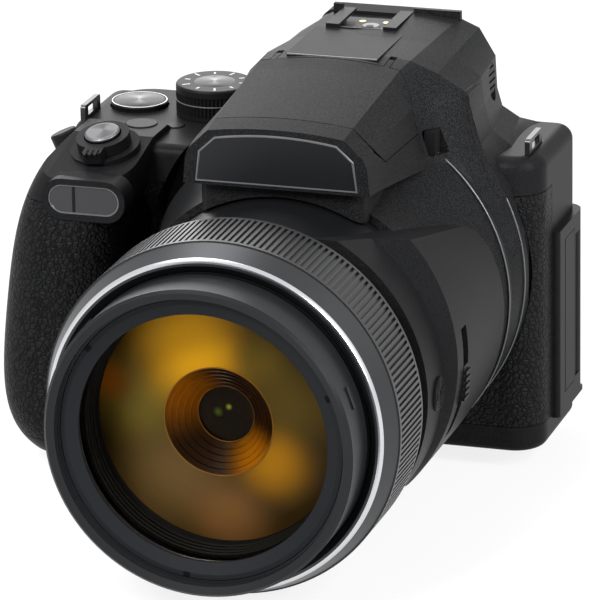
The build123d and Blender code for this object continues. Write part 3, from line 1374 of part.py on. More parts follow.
def main_board():
    body = block(BOARD_X, BOARD_Y, BOARD_Z)
    for x in (-1, 0, 1):
        at = mean(BOARD_X) + x * span(BOARD_X) * 0.3
        body += block((at - CHIP[0] / 2, at + CHIP[0] / 2), (BOARD_Y[1], BOARD_Y[1] + CHIP[1]),
                      (mean(BOARD_Z) - CHIP[2] / 2, mean(BOARD_Z) + CHIP[2] / 2))
    return body + jacks()


def zoom_motor():
    x, z = MOTOR_AT
    return rod(MOTOR_R, MOTOR_Y, x, z) + rod(MOTOR_R * 0.3, (MOTOR_Y[1], MOTOR_Y[1] + WALL), x, z)


def flash_capacitor():
    """Capacitor of the flash with its two leads to the main board."""
    y, z = CAPACITOR_AT
    body = bar(CAPACITOR_R, CAPACITOR_X, y, z)
    for side in (-1, 1):
        body += bar(LEAD_R, (CAPACITOR_X[1] - LEAD_R, BOARD_X[0]), mean(BOARD_Y), z + side * LEAD_Z)
    return body


def with_rails():
    return fixed_barrel() + focus_rails()


def guided_focus():
    """Focus holder with two ears that run on the guide bars."""
    body = focus_group()
    for side in (-1, 1):
        x = side * (FOCUS_R + WALL * 0.5 + RUN)
        body += rod(WALL, (mean(FOCUS_Y) - WALL, mean(FOCUS_Y) + WALL), x)
    for side in (-1, 1):
        x = side * (FOCUS_R + WALL * 0.5 + RUN)
        body -= rod(WALL / 2 + PIN_RUN, grown(FOCUS_Y, OVER), x)
    return body


NODES = {
    "chassis": chassis,
    "front_cover": front_cover,
    "lens_shroud": lens_shroud,
    "rear_cover": rear_cover,
    "top_cover": top_cover,
    "base_plate": base_plate,
    "flash_housing": flash_housing,
    "grip_rubber": grip_rubber,
    "side_rubber": side_rubber,
    "fixed_barrel": with_rails,
    "control_ring": control_ring,
    "trim_ring": trim_ring,
    "zoom_barrel_rear": zoom_barrel_rear,
    "zoom_barrel_front": zoom_barrel_front,
    "retaining_ring": retaining_ring,
    "front_lens": front_lens,
    "inner_lens": inner_lens,
    "cam_ring": cam_ring,
    "aperture_unit": aperture_unit,
    "focus_group": guided_focus,
    "control_pod": control_pod,
    "snap_back_button": snap_back_button,
    "side_zoom_slider": side_zoom_slider,
    "flash_lid": flash_lid,
    "flash_head": flash_head,
    "name_plate": name_plate,
    "hot_shoe": hot_shoe,
    "evf_module": evf_module,
    "eyepiece_lens": eyepiece_lens,
    "eyecup": eyecup,
    "diopter_knob": diopter_knob,
    "flash_button": flash_button,
    "shutter_button": shutter_button,
    "zoom_lever": zoom_lever,
    "power_button": power_button,
    "movie_button": movie_button,
    "function_button": function_button,
    "mode_dial": mode_dial,
    "command_dial": command_dial,
    "lamp_window": lamp_window,
    "selector_dial": selector_dial,
    "ok_button": lambda: back_key(SELECT_AT, OK_R),
    "play_button": lambda: back_key(PLAY_AT),
    "menu_button": lambda: back_key(MENU_AT),
    "delete_button": lambda: back_key(DELETE_AT),
    "display_button": lambda: back_key(DISPLAY_AT),
    "focus_mode_lever": focus_mode_lever,
    "af_lock_button": lambda: back_key(AF_AT, AF_R),
    "lcd_screen": lcd_screen,
    "lcd_glass": lcd_glass,
    "lcd_arm": lcd_arm,
    "connector_cover": connector_cover,
    "strap_lugs": strap_lugs,
    "tripod_socket": tripod_socket,
    "battery_door": battery_door,
    "battery": battery,
    "sensor_unit": sensor_unit,
    "main_board": main_board,
    "zoom_motor": zoom_motor,
    "flash_capacitor": flash_capacitor,
}

os.makedirs("parts", exist_ok=True)
for name, make in NODES.items():
    shape = make()
    export_step(shape, "parts/" + name + ".step")
    box = shape.bounding_box()
    print(name, len(shape.solids()), round(shape.volume, 1),
          [round(v, 1) for v in (*box.min, *box.max)])
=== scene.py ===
from math import cos, pi, radians, sin

import bpy
from mathutils import Matrix, Vector
from mathutils.bvhtree import BVHTree


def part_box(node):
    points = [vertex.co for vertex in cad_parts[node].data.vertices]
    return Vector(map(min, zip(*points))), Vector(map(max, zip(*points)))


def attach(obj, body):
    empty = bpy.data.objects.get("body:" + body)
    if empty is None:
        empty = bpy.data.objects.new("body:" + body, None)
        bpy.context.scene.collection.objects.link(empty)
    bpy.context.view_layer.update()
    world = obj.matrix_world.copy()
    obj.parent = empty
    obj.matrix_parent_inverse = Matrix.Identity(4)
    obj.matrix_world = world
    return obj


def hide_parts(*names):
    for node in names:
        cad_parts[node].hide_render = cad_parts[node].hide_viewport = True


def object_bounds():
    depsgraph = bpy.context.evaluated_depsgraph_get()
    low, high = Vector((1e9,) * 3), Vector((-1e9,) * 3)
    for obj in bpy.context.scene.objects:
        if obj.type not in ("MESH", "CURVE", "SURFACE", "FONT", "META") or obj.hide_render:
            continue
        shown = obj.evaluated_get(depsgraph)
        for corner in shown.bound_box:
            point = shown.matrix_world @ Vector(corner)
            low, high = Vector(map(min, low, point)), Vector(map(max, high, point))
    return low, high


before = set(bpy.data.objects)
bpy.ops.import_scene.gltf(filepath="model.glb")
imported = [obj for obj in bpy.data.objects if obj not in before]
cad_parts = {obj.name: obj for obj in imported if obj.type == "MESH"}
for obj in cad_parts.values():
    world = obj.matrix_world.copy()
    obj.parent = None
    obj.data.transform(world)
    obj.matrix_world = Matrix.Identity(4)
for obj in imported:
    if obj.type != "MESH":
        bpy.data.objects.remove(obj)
cad_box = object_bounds()

# Places taken from the CAD, in metres
MM = 0.001
ring_low, ring_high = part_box("control_ring")
AXIS_Z = (ring_low.z + ring_high.z) / 2
FLOOR_Z = cad_box[0][2]

# Fineness of the meshes
ROUND_SIDES = 192        # sides of a large turned piece
SMALL_SIDES = 48         # sides of a button's ring
HEAD_SIDES = 40          # sides of a screw head or contact
AXIS_R = 0.01 * MM       # hole left along the axis of a turned piece
SMOOTH_DEG = 28.0        # bends sharper than this show as an edge
BEVEL_DEG = 32.0
BEVEL = 0.3 * MM

# Camera of the photograph, whose side is 600 pixels
FRAME_PX = 600
FOCAL_PX = 5500
CAMERA_AT = Vector((0.42351, -1.37377, 0.52316))
AZIMUTH = radians(17.768)
ELEVATION = radians(18.702)
ROLL = radians(-0.912)
SENSOR_MM = 36.0
CLIP_END = 20.0

# Colours, linear
BLACK = (0.006, 0.0062, 0.0068)
SOFT_BLACK = (0.009, 0.0092, 0.0098)
PAINT_BLACK = (0.004, 0.0041, 0.0044)
PAINT_FLECK = (0.034, 0.0345, 0.036)
SHELL_FLECK = (0.022, 0.022, 0.023)
LEATHER = (0.007, 0.0072, 0.0076)
DEEP_BLACK = (0.002, 0.002, 0.0022)
SILVER = (0.62, 0.63, 0.65)


# Materials

COAT_ROUGHNESS = 0.05
PAINT_SPECULAR = 0.04
COATED_SPECULAR = 0.06
COATED_COAT = 0.04
GLASS_IOR = 1.5
MIX_COLORS = (6, 7)      # sockets of the Mix node that take its two colours
MIX_RESULT = 2
TURNED_STRETCH = 0.85
FLECK_FROM = 0.42        # noise value where the flecks start
FLECK_FULL = 0.72
FLECK_RELIEF = 0.04 * MM
GRAIN_BEND_SCALE = 420.0
GRAIN_BEND = 1.1 * MM    # how far the noise pushes the leather's cells about
GROOVE_SHARE = 0.24      # share of a cell that slopes into the groove
# Shares of the leather's colour: painted shade in the grain's grooves, painted light on the pebble tops
GROOVE_PAINTED_SHADE = 0.35
PEBBLE_PAINTED_LIGHT = 1.5


def new_material(name):
    mat = bpy.data.materials.new(name)
    mat.use_nodes = True
    return mat, mat.node_tree, mat.node_tree.nodes["Principled BSDF"]


def node(tree, kind, **values):
    """New shader node: each value goes to the input of that name, or else to the property."""
    made = tree.nodes.new(kind)
    for key, value in values.items():
        if key in made.inputs:
            made.inputs[key].default_value = value
        else:
            setattr(made, key, value)
    return made


def object_point(tree):
    return node(tree, "ShaderNodeTexCoord").outputs["Object"]


def bump_from(tree, shader, height, strength, distance):
    bump = node(tree, "ShaderNodeBump", Strength=strength, Distance=distance)
    tree.links.new(height, bump.inputs["Height"])
    tree.links.new(bump.outputs["Normal"], shader.inputs["Normal"])


def plain(name, color, roughness, metallic=0.0, specular=0.08, coat=0.0):
    mat, _, shader = new_material(name)
    shader.inputs["Base Color"].default_value = (*color, 1)
    shader.inputs["Roughness"].default_value = roughness
    shader.inputs["Metallic"].default_value = metallic
    shader.inputs["Specular IOR Level"].default_value = specular
    shader.inputs["Coat Weight"].default_value = coat
    shader.inputs["Coat Roughness"].default_value = COAT_ROUGHNESS
    return mat


def speckled(name, color, light, roughness, grain, strength):
    """Matte paint with a fine speckle in colour and relief."""
    mat = plain(name, color, roughness, specular=PAINT_SPECULAR)
    tree = mat.node_tree
    shader = tree.nodes["Principled BSDF"]
    noise = node(tree, "ShaderNodeTexNoise", Scale=grain, Detail=2.0, Roughness=0.7)
    tree.links.new(object_point(tree), noise.inputs["Vector"])
    ramp = node(tree, "ShaderNodeValToRGB")
    dark_end, light_end = ramp.color_ramp.elements
    dark_end.position = FLECK_FROM
    dark_end.color = (*color, 1)
    light_end.position = FLECK_FULL
    light_end.color = (*light, 1)
    tree.links.new(noise.outputs["Fac"], ramp.inputs["Fac"])
    tree.links.new(ramp.outputs["Color"], shader.inputs["Base Color"])
    bump_from(tree, shader, noise.outputs["Fac"], strength, FLECK_RELIEF)
    return mat


def leather(name, color, cell, depth, roughness):
    """Rubber with a pebbled leather grain, with painted shade in its grooves and painted light on its
    pebble tops.
    """
    mat = plain(name, color, roughness)
    tree = mat.node_tree
    shader = tree.nodes["Principled BSDF"]
    bend = node(tree, "ShaderNodeTexNoise", Scale=GRAIN_BEND_SCALE, Detail=1.0)
    tree.links.new(object_point(tree), bend.inputs["Vector"])
    shift = node(tree, "ShaderNodeVectorMath", operation="MULTIPLY_ADD")
    shift.inputs[1].default_value = (GRAIN_BEND, GRAIN_BEND, GRAIN_BEND)
    tree.links.new(bend.outputs["Color"], shift.inputs[0])
    tree.links.new(object_point(tree), shift.inputs[2])
    cells = node(tree, "ShaderNodeTexVoronoi", Scale=1 / cell, feature="DISTANCE_TO_EDGE")
    tree.links.new(shift.outputs[0], cells.inputs["Vector"])
    edge = node(tree, "ShaderNodeMapRange", interpolation_type="SMOOTHSTEP")
    edge.inputs["From Max"].default_value = GROOVE_SHARE
    tree.links.new(cells.outputs["Distance"], edge.inputs["Value"])
    # ramp from painted shade in the grooves to painted light on the pebble tops
    ramp = node(tree, "ShaderNodeValToRGB")
    for element, shade in zip(ramp.color_ramp.elements, (GROOVE_PAINTED_SHADE, PEBBLE_PAINTED_LIGHT)):
        element.color = (*(part * shade for part in color), 1)
    tree.links.new(edge.outputs["Result"], ramp.inputs["Fac"])
    tree.links.new(ramp.outputs["Color"], shader.inputs["Base Color"])
    bump_from(tree, shader, edge.outputs["Result"], 1.0, depth)
    return mat


def clear_glass(name, tint):
    mat = plain(name, tint, 0.0)
    shader = mat.node_tree.nodes["Principled BSDF"]
    shader.inputs["Transmission Weight"].default_value = 1.0
    shader.inputs["IOR"].default_value = GLASS_IOR
    return mat


def thin_glass(name, tint):
    """Coated glass that lets light straight through."""
    mat, tree, shader = new_material(name)
    tree.nodes.remove(shader)
    through = node(tree, "ShaderNodeBsdfTransparent")
    through.inputs["Color"].default_value = (*tint, 1)
    tree.links.new(through.outputs[0], tree.nodes["Material Output"].inputs["Surface"])
    return mat


def coated(name, base, spots, roughness):
    """Coated glass over the dark: soft spots of colour round places across the lens, painted as its
    reflections and glints.
    """
    mat = plain(name, base, roughness, specular=COATED_SPECULAR, coat=COATED_COAT)
    tree = mat.node_tree
    shader = tree.nodes["Principled BSDF"]
    flat = node(tree, "ShaderNodeVectorMath", operation="MULTIPLY")
    flat.inputs[1].default_value = (1, 0, 1)
    tree.links.new(object_point(tree), flat.inputs[0])
    color = node(tree, "ShaderNodeRGB").outputs[0]
    color.default_value = (*base, 1)
    # each spot mixes in a painted reflection colour
    for x, z, reach, tint in spots:
        away = node(tree, "ShaderNodeVectorMath", operation="DISTANCE")
        away.inputs[1].default_value = (x * MM, 0, AXIS_Z + z * MM)
        tree.links.new(flat.outputs[0], away.inputs[0])
        share = node(tree, "ShaderNodeMapRange", interpolation_type="SMOOTHERSTEP")
        share.inputs["From Max"].default_value = reach * MM
        share.inputs["To Min"].default_value = 1.0
        share.inputs["To Max"].default_value = 0.0
        tree.links.new(away.outputs["Value"], share.inputs["Value"])
        mix = node(tree, "ShaderNodeMix", data_type="RGBA")
        tree.links.new(share.outputs["Result"], mix.inputs[0])
        tree.links.new(color, mix.inputs[MIX_COLORS[0]])
        mix.inputs[MIX_COLORS[1]].default_value = (*tint, 1)
        color = mix.outputs[MIX_RESULT]
    tree.links.new(color, shader.inputs["Base Color"])
    return mat


def turned(name, color, roughness):
    """Turned metal whose highlight runs in rays from its middle."""
    mat = plain(name, color, roughness, metallic=1.0)
    tree = mat.node_tree
    shader = tree.nodes["Principled BSDF"]
    shader.inputs["Anisotropic"].default_value = TURNED_STRETCH
    tangent = node(tree, "ShaderNodeTangent", direction_type="RADIAL", axis="Z")
    tree.links.new(tangent.outputs[0], shader.inputs["Tangent"])
    return mat


PAINT = speckled("speckled_paint", PAINT_BLACK, PAINT_FLECK, 0.42, grain=3200.0, strength=0.35)
SHELL = speckled("shell_plastic", BLACK, SHELL_FLECK, 0.4, grain=4200.0, strength=0.25)
RUBBER = leather("leather_rubber", LEATHER, cell=1.45 * MM, depth=0.2 * MM, roughness=0.44)
SOFT_RUBBER = plain("soft_rubber", SOFT_BLACK, 0.62)
SATIN = plain("satin_black", BLACK, 0.34, specular=0.15)
FRONT_SATIN = plain("front_satin", (0.012, 0.0125, 0.0135), 0.3, specular=0.14)
RETAINER = plain("retainer_black", (0.011, 0.0118, 0.0135), 0.5)
DULL = plain("dull_black", DEEP_BLACK, 0.6)
RIBS = plain("rib_rubber", (0.014, 0.0142, 0.015), 0.34, specular=0.35)
TRIM = plain("trim_grey", (0.055, 0.056, 0.059), 0.34, metallic=0.9)
EDGE_GREY = plain("edge_grey", (0.16, 0.162, 0.168), 0.35, metallic=0.6)
BRIGHT = plain("bright_edge", SILVER, 0.2, metallic=1.0)
GLOSS = plain("gloss_black", DEEP_BLACK, 0.12, coat=0.4)
PLATE = plain("plate_black", (0.007, 0.0074, 0.0088), 0.34, specular=0.3)
STEEL = plain("steel", (0.42, 0.42, 0.43), 0.3, metallic=1.0)
GUNMETAL = plain("gunmetal", (0.06, 0.06, 0.063), 0.32, metallic=1.0)
GOLD = plain("contact_gold", (0.72, 0.5, 0.2), 0.25, metallic=1.0)
MARK = plain("mark_white", (0.7, 0.7, 0.7), 0.5)
DIAL = turned("dial_top", (0.035, 0.035, 0.037), 0.32)
SHUTTER = turned("shutter_top", (0.14, 0.14, 0.145), 0.3)
BOARD = plain("green_board", (0.01, 0.09, 0.035), 0.45)
CELL = plain("battery_grey", (0.05, 0.05, 0.055), 0.4)
KEY = plain("key_black", SOFT_BLACK, 0.42)
WINDOW = plain("lamp_clear", (0.03, 0.03, 0.032), 0.14, coat=0.5)
LENS_GLASS = thin_glass("front_glass", (0.95, 0.93, 0.88))
GLASS = clear_glass("coated_glass", (0.9, 0.85, 0.7))

# Coating seen through the front glass, its colours painted reflections: x and z from the lens axis and
# reach in millimetres, colour
COAT_DARK = (0.03, 0.018, 0.005)
COAT_REFLECTION_SPOTS = [
    (-12.5, -17.4, 24.0, (0.11, 0.07, 0.026)),
    (2.2, -26.9, 17.0, (0.17, 0.085, 0.03)),
    (-21.5, 3.6, 17.0, (0.12, 0.09, 0.014)),
    (-29.5, 8.3, 9.0, (0.16, 0.05, 0.003)),
    (19.0, 7.4, 20.0, (0.065, 0.045, 0.007)),
    (14.4, -10.4, 15.0, (0.3, 0.14, 0.004)),
    (-7.6, 19.5, 23.0, (0.62, 0.32, 0.006)),
    (11.7, 18.9, 11.0, (0.1, 0.068, 0.008)),
]
FUNNEL_DARK = (0.012, 0.004, 0.0008)
# Painted reflections in the funnel, listed as the spots above
FUNNEL_REFLECTION_SPOTS = [(-12.0, 7.0, 16.0, (0.22, 0.07, 0.002)), (9.0, -10.0, 11.0, (0.26, 0.09, 0.002))]
PUPIL_DARK = (0.004, 0.002, 0.0006)
# Painted glints: two small green spots on the dark pupil, listed as the spots above
PUPIL_GLINT_SPOTS = [(0.9, 2.2, 1.1, (0.16, 0.2, 0.02)), (-2.0, 0.6, 1.6, (0.04, 0.07, 0.006))]
# Lens materials with painted reflections and painted glints of the coating
COATING_REFLECTIONS = coated("lens_coating_reflections", COAT_DARK, COAT_REFLECTION_SPOTS, roughness=0.3)
FUNNEL = coated("lens_funnel", FUNNEL_DARK, FUNNEL_REFLECTION_SPOTS, roughness=0.35)
# Real edge rings in the lens, their bright orange a painted highlight
FUNNEL_EDGE_GLINT = plain("funnel_edge_glint", (0.2, 0.09, 0.02), 0.3, metallic=0.4)
PUPIL = coated("lens_pupil", PUPIL_DARK, PUPIL_GLINT_SPOTS, roughness=0.2)

# Nodes that aren't named here get KEY
NODE_MATERIALS = {
    "front_cover": SHELL, "rear_cover": SHELL, "top_cover": SHELL, "base_plate": SHELL,
    "lens_shroud": PAINT, "flash_housing": PAINT, "flash_lid": PAINT, "control_pod": SHELL,
    "connector_cover": SHELL, "battery_door": SHELL, "lcd_arm": SHELL, "lcd_screen": SHELL,
    "lcd_glass": GLOSS, "name_plate": PLATE, "grip_rubber": RUBBER, "side_rubber": RUBBER,
    "eyecup": SOFT_RUBBER, "control_ring": RIBS, "fixed_barrel": SATIN,
    "zoom_barrel_rear": SATIN, "zoom_barrel_front": FRONT_SATIN, "retaining_ring": RETAINER,
    "cam_ring": SATIN, "aperture_unit": DULL, "focus_group": DULL, "evf_module": DULL,
    "flash_head": BRIGHT, "trim_ring": TRIM, "front_lens": LENS_GLASS, "inner_lens": COATING_REFLECTIONS,
    "eyepiece_lens": GLASS, "lamp_window": WINDOW, "shutter_button": SHUTTER,
    "strap_lugs": GUNMETAL, "tripod_socket": STEEL, "chassis": STEEL, "zoom_motor": STEEL,
    "main_board": BOARD, "sensor_unit": BOARD, "battery": CELL, "flash_capacitor": CELL,
}
SOFT_EDGES = ("flash_housing", "flash_lid", "top_cover", "lens_shroud", "control_pod",
              "front_cover", "zoom_lever", "connector_cover", "lcd_arm", "lcd_screen",
              "rear_cover", "base_plate")


def smooth_mesh(mesh, material, degrees=SMOOTH_DEG):
    """Give the mesh its material and smooth shading, with an edge at each sharper bend."""
    mesh.materials.clear()
    mesh.materials.append(material)
    for polygon in mesh.polygons:
        polygon.use_smooth = True
    mesh.set_sharp_from_angle(angle=radians(degrees))


def soften(obj):
    """Narrow bevel along the sharp edges, so that they catch the light."""
    bevel = obj.modifiers.new("edge", "BEVEL")
    bevel.width = BEVEL
    bevel.segments = 2
    bevel.limit_method = "ANGLE"
    bevel.angle_limit = radians(BEVEL_DEG)
    bevel.harden_normals = False


for node_name, cad_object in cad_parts.items():
    smooth_mesh(cad_object.data, NODE_MATERIALS.get(node_name, KEY))
    if node_name in SOFT_EDGES:
        soften(cad_object)


# Making of pieces

# Frame of what is turned round the lens axis: its third axis is y, and its origin is on the axis
LENS_FRAME = Matrix(((1, 0, 0, 0), (0, 0, 1, 0), (0, 1, 0, AXIS_Z), (0, 0, 0, 1)))
RIDGE_SIDES = 8
RIDGE_RISE = 0.6         # height of a ridge as a share of its width
RIDGE_DEG = 60.0
LINE_STEPS = 6           # points between two pixels of a traced line
HAIRLINE = (0.35 * MM, 0.3 * MM)    # width and height of the thinnest rings


def mesh_piece(name, vertices, faces, material, body, degrees=SMOOTH_DEG):
    mesh = bpy.data.meshes.new(name)
    mesh.from_pydata(vertices, [], faces)
    smooth_mesh(mesh, material, degrees)
    obj = bpy.data.objects.new(name, mesh)
    bpy.context.scene.collection.objects.link(obj)
    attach(obj, body)
    return obj


def camera_turn():
    """Turn of the camera: its right, up and back directions as columns."""
    back = Vector((sin(AZIMUTH) * cos(ELEVATION), -cos(AZIMUTH) * cos(ELEVATION), sin(ELEVATION)))
    right = Vector((0, 0, 1)).cross(back).normalized()
    up = back.cross(right)
    x_axis = cos(ROLL) * right + sin(ROLL) * up
    y_axis = cos(ROLL) * up - sin(ROLL) * right
    return Matrix((x_axis, y_axis, back)).transposed()


def surface_finder(*nodes):
    """Function from a pixel of the photograph to the place and normal on the given CAD nodes."""
    vertices = []
    faces = []
    for name in nodes:
        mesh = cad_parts[name].data
        start = len(vertices)
        vertices += [v.co.copy() for v in mesh.vertices]
        faces += [[start + i for i in p.vertices] for p in mesh.polygons]
    tree = BVHTree.FromPolygons(vertices, faces)
    turn = camera_turn()

    def find(pixel):
        ray = turn @ Vector((pixel[0] - FRAME_PX / 2, FRAME_PX / 2 - pixel[1], -FOCAL_PX))
        place, normal, _, _ = tree.ray_cast(CAMERA_AT, ray.normalized())
        return (place, normal) if place else None

    return find


def smooth_line(pixels):
    """Points on a smooth curve through the pixels."""
    line = [Vector(p) for p in pixels]
    line = [line[0] * 2 - line[1]] + line + [line[-1] * 2 - line[-2]]
    points = []
    for i in range(1, len(line) - 2):
        a, b, c, d = line[i - 1:i + 3]
        for j in range(LINE_STEPS):
            t = j / LINE_STEPS
            points.append(0.5 * (2 * b + (c - a) * t + (2 * a - 5 * b + 4 * c - d) * t * t
                                 + (3 * b - a - 3 * c + d) * t * t * t))
    return points + [line[-2]]


def ridge(name, pixels, find, wide, material, body):
    """Thin ridge along a line of the photograph, seated on the surface under it."""
    hits = [hit for hit in map(find, smooth_line(pixels)) if hit]
    last = len(hits) - 1
    vertices = []
    for i, (place, normal) in enumerate(hits):
        along = (hits[min(i + 1, last)][0] - hits[max(i - 1, 0)][0]).normalized()
        across = along.cross(normal).normalized()
        for j in range(RIDGE_SIDES):
            a = 2 * pi * j / RIDGE_SIDES
            vertices.append(place + (across * cos(a) + normal * sin(a) * RIDGE_RISE) * wide / 2)
    sides = range(RIDGE_SIDES)
    faces = [tuple(sides), tuple(last * RIDGE_SIDES + j for j in reversed(sides))]
    for i in range(last):
        here, there = i * RIDGE_SIDES, (i + 1) * RIDGE_SIDES
        for j in sides:
            k = (j + 1) % RIDGE_SIDES
            faces.append((here + j, there + j, there + k, here + k))
    return mesh_piece(name, vertices, faces, material, body, RIDGE_DEG)


def facing_front(y):
    """Flat frame whose first axis is x, whose second is z and whose third looks forwards."""
    return Matrix(((1, 0, 0, 0), (0, 0, -1, y), (0, 1, 0, 0), (0, 0, 0, 1)))


def turned_about(place, degrees, axis="Z"):
    return place @ Matrix.Rotation(radians(degrees), 4, axis)


def lathe(name, profile, material, body, place=LENS_FRAME, sides=ROUND_SIDES, arc=None):
    """Turned piece from a closed outline of (radius, height) points round the place's third axis."""
    vertices = []
    faces = []
    count = len(profile)
    start, end = arc or (0.0, 360.0)
    steps = sides if arc else sides - 1
    for i in range(steps + 1):
        a = radians(start + (end - start) * i / sides)
        vertices += [place @ Vector((r * cos(a), r * sin(a), h)) for r, h in profile]
    for i in range(sides):
        here, there = i * count, (i + 1) % (steps + 1) * count
        for j in range(count):
            k = (j + 1) % count
            faces.append((here + j, there + j, there + k, here + k))
    if arc:
        faces.append(tuple(range(count)))
        faces.append(tuple(steps * count + j for j in reversed(range(count))))
    return mesh_piece(name, vertices, faces, material, body)


def ring_profile(radius, height, wide, tall):
    """Outline of a thin ring with chamfered edges."""
    w, t = wide / 2, tall / 2
    cut = min(w, t) / 2
    return [(radius - w, height - t + cut), (radius - w + cut, height - t),
            (radius + w - cut, height - t), (radius + w, height - t + cut),
            (radius + w, height + t - cut), (radius + w - cut, height + t),
            (radius - w + cut, height + t), (radius - w, height + t - cut)]


def bar(name, low, high, material, body, place=None, cut=0.15 * MM):
    """Bar with chamfered edges between two corners."""
    place = place or Matrix.Identity(4)
    vertices = []
    for level, inset in ((low[2], cut), (low[2] + cut, 0), (high[2] - cut, 0), (high[2], cut)):
        x_1, x_2 = low[0] + inset, high[0] - inset
        y_1, y_2 = low[1] + inset, high[1] - inset
        vertices += [place @ Vector((x, y, level)) for x, y in
                     ((x_1, y_1), (x_2, y_1), (x_2, y_2), (x_1, y_2))]
    faces = [(3, 2, 1, 0), (12, 13, 14, 15)]
    for i in range(3):
        for j in range(4):
            k = (j + 1) % 4
            faces.append((i * 4 + j, i * 4 + k, i * 4 + 4 + k, i * 4 + 4 + j))
    return mesh_piece(name, vertices, faces, material, body)


def strip(name, outline, wide, rise, material, body, place):
    """Closed raised strip along a flat outline, with bevelled flanks."""
    count = len(outline)
    middle = sum((Vector(p) for p in outline), Vector((0, 0))) / count
    vertices = []
    for share, height in ((-0.5, 0), (-0.25, rise), (0.25, rise), (0.5, 0)):
        for i in range(count):
            before, here, after = (Vector(outline[(i + step) % count]) for step in (-1, 0, 1))
            along = ((here - before).normalized() + (after - here).normalized()).normalized()
            out = Vector((along.y, -along.x))
            if out.dot(here - middle) < 0:
                out = -out
            spot = here + out * wide * share
            vertices.append(place @ Vector((spot.x, spot.y, height)))
    faces = []
    for level in range(4):
        above = (level + 1) % 4
        for i in range(count):
            k = (i + 1) % count
            faces.append((level * count + i, level * count + k, above * count + k, above * count + i))
    return mesh_piece(name, vertices, faces, material, body)


# Lens

INNER_EDGE = 1.6 * MM    # depth of the second element's dome and of its edge
DOME_STEPS = 8
FUNNEL_R = 14.6 * MM
FUNNEL_STEPS = 5
FUNNEL_STEP_IN = 1.4 * MM
FUNNEL_STEP_BACK = 1.25 * MM
FUNNEL_LAND = 0.25 * MM  # flat at the edge of a step
FUNNEL_RISER = 0.3 * MM
FUNNEL_WALL = 1 * MM
PUPIL_AXIS_R = 0.001 * MM
PUPIL_BULGE = 0.9 * MM
PUPIL_SINK = 0.3 * MM
PUPIL_BACK = 2 * MM
PUPIL_EDGE_SIZE = (0.3 * MM, 0.4 * MM)
BAFFLE_STEPS = 4
BAFFLE_FIRST = 1 * MM    # from the glass to the first step
BAFFLE_PITCH = 1.5 * MM
BAFFLE_LIP = (0.4 * MM, 0.3 * MM)
BAFFLE_GAP = 0.9 * MM    # from the second element's edge to the first step
BAFFLE_TAPER = 0.2 * MM
BAFFLE_OUT = 1.4 * MM
BAFFLE_START = 0.3 * MM
GLASS_RIM_R = 34.7 * MM
GLASS_RIM_BACK = 1.1 * MM
GLASS_RIM_SIZE = (0.5 * MM, 0.4 * MM)
SLOT_DEG = (143.0, 23.0, -97.0)
SLOT_R = (36.2 * MM, 37.5 * MM)
SLOT_HALF = 0.9 * MM
SLOT_RISE = 0.12 * MM
SLOT_SINK = 0.4 * MM


def inner_element(edge_r, front, back):
    """Second element with its coating's painted reflections, open in the middle; returns the height of
    the opening.
    """
    rim = front + INNER_EDGE
    outline = [(edge_r, back), (edge_r, rim)]
    for i in range(1, DOME_STEPS + 1):
        r = edge_r + (FUNNEL_R - edge_r) * i / DOME_STEPS
        outline.append((r, rim - INNER_EDGE * (1 - (r / edge_r) ** 2)))
    lip = outline[-1][1]
    element = lathe("coated_element", outline + [(FUNNEL_R, back)], COATING_REFLECTIONS, "zoom_front")
    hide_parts("inner_lens")
    lathe("funnel_edge", ring_profile(FUNNEL_R, lip, *HAIRLINE), FUNNEL_EDGE_GLINT, "zoom_front")
    return lip


def funnel(lip, back):
    """Stepped funnel behind the second element, with the pupil at its end."""
    outline = [(FUNNEL_R, lip)]
    for i in range(1, FUNNEL_STEPS + 1):
        r = FUNNEL_R - i * FUNNEL_STEP_IN
        y = lip + i * FUNNEL_STEP_BACK
        outline += [(r + FUNNEL_LAND, y - FUNNEL_RISER / 2), (r, y - FUNNEL_RISER), (r, y)]
    end_r, end_y = outline[-1]
    outline += [(end_r, end_y + FUNNEL_WALL), (FUNNEL_R, back + 2 * FUNNEL_WALL)]
    lathe("lens_funnel", outline, FUNNEL, "zoom_front")
    lathe("pupil_edge", ring_profile(end_r, end_y, *PUPIL_EDGE_SIZE), FUNNEL_EDGE_GLINT, "zoom_front")
    pupil = []
    for i in range(DOME_STEPS + 1):
        share = i / DOME_STEPS
        bulge = PUPIL_BULGE * (1 - share ** 2)
        pupil.append((end_r * share + PUPIL_AXIS_R, end_y + PUPIL_SINK - bulge))
    pupil += [(end_r, end_y + PUPIL_BACK), (PUPIL_AXIS_R, end_y + PUPIL_BACK)]
    lathe("lens_pupil", pupil, PUPIL, "zoom_front")


def baffle(edge_r):
    """Stepped black wall between the front glass and the second element."""
    glass_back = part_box("front_lens")[1].y
    outline = [(edge_r + BAFFLE_GAP, glass_back + BAFFLE_START)]
    for i in range(BAFFLE_STEPS):
        r = edge_r + BAFFLE_GAP - i * BAFFLE_TAPER
        y = glass_back + BAFFLE_FIRST + i * BAFFLE_PITCH
        outline += [(r, y), (r - BAFFLE_LIP[0], y + BAFFLE_LIP[1])]
    outline += [(edge_r + BAFFLE_OUT, outline[-1][1]), (edge_r + BAFFLE_OUT, glass_back + BAFFLE_START)]
    lathe("lens_baffle", outline, DULL, "zoom_front")


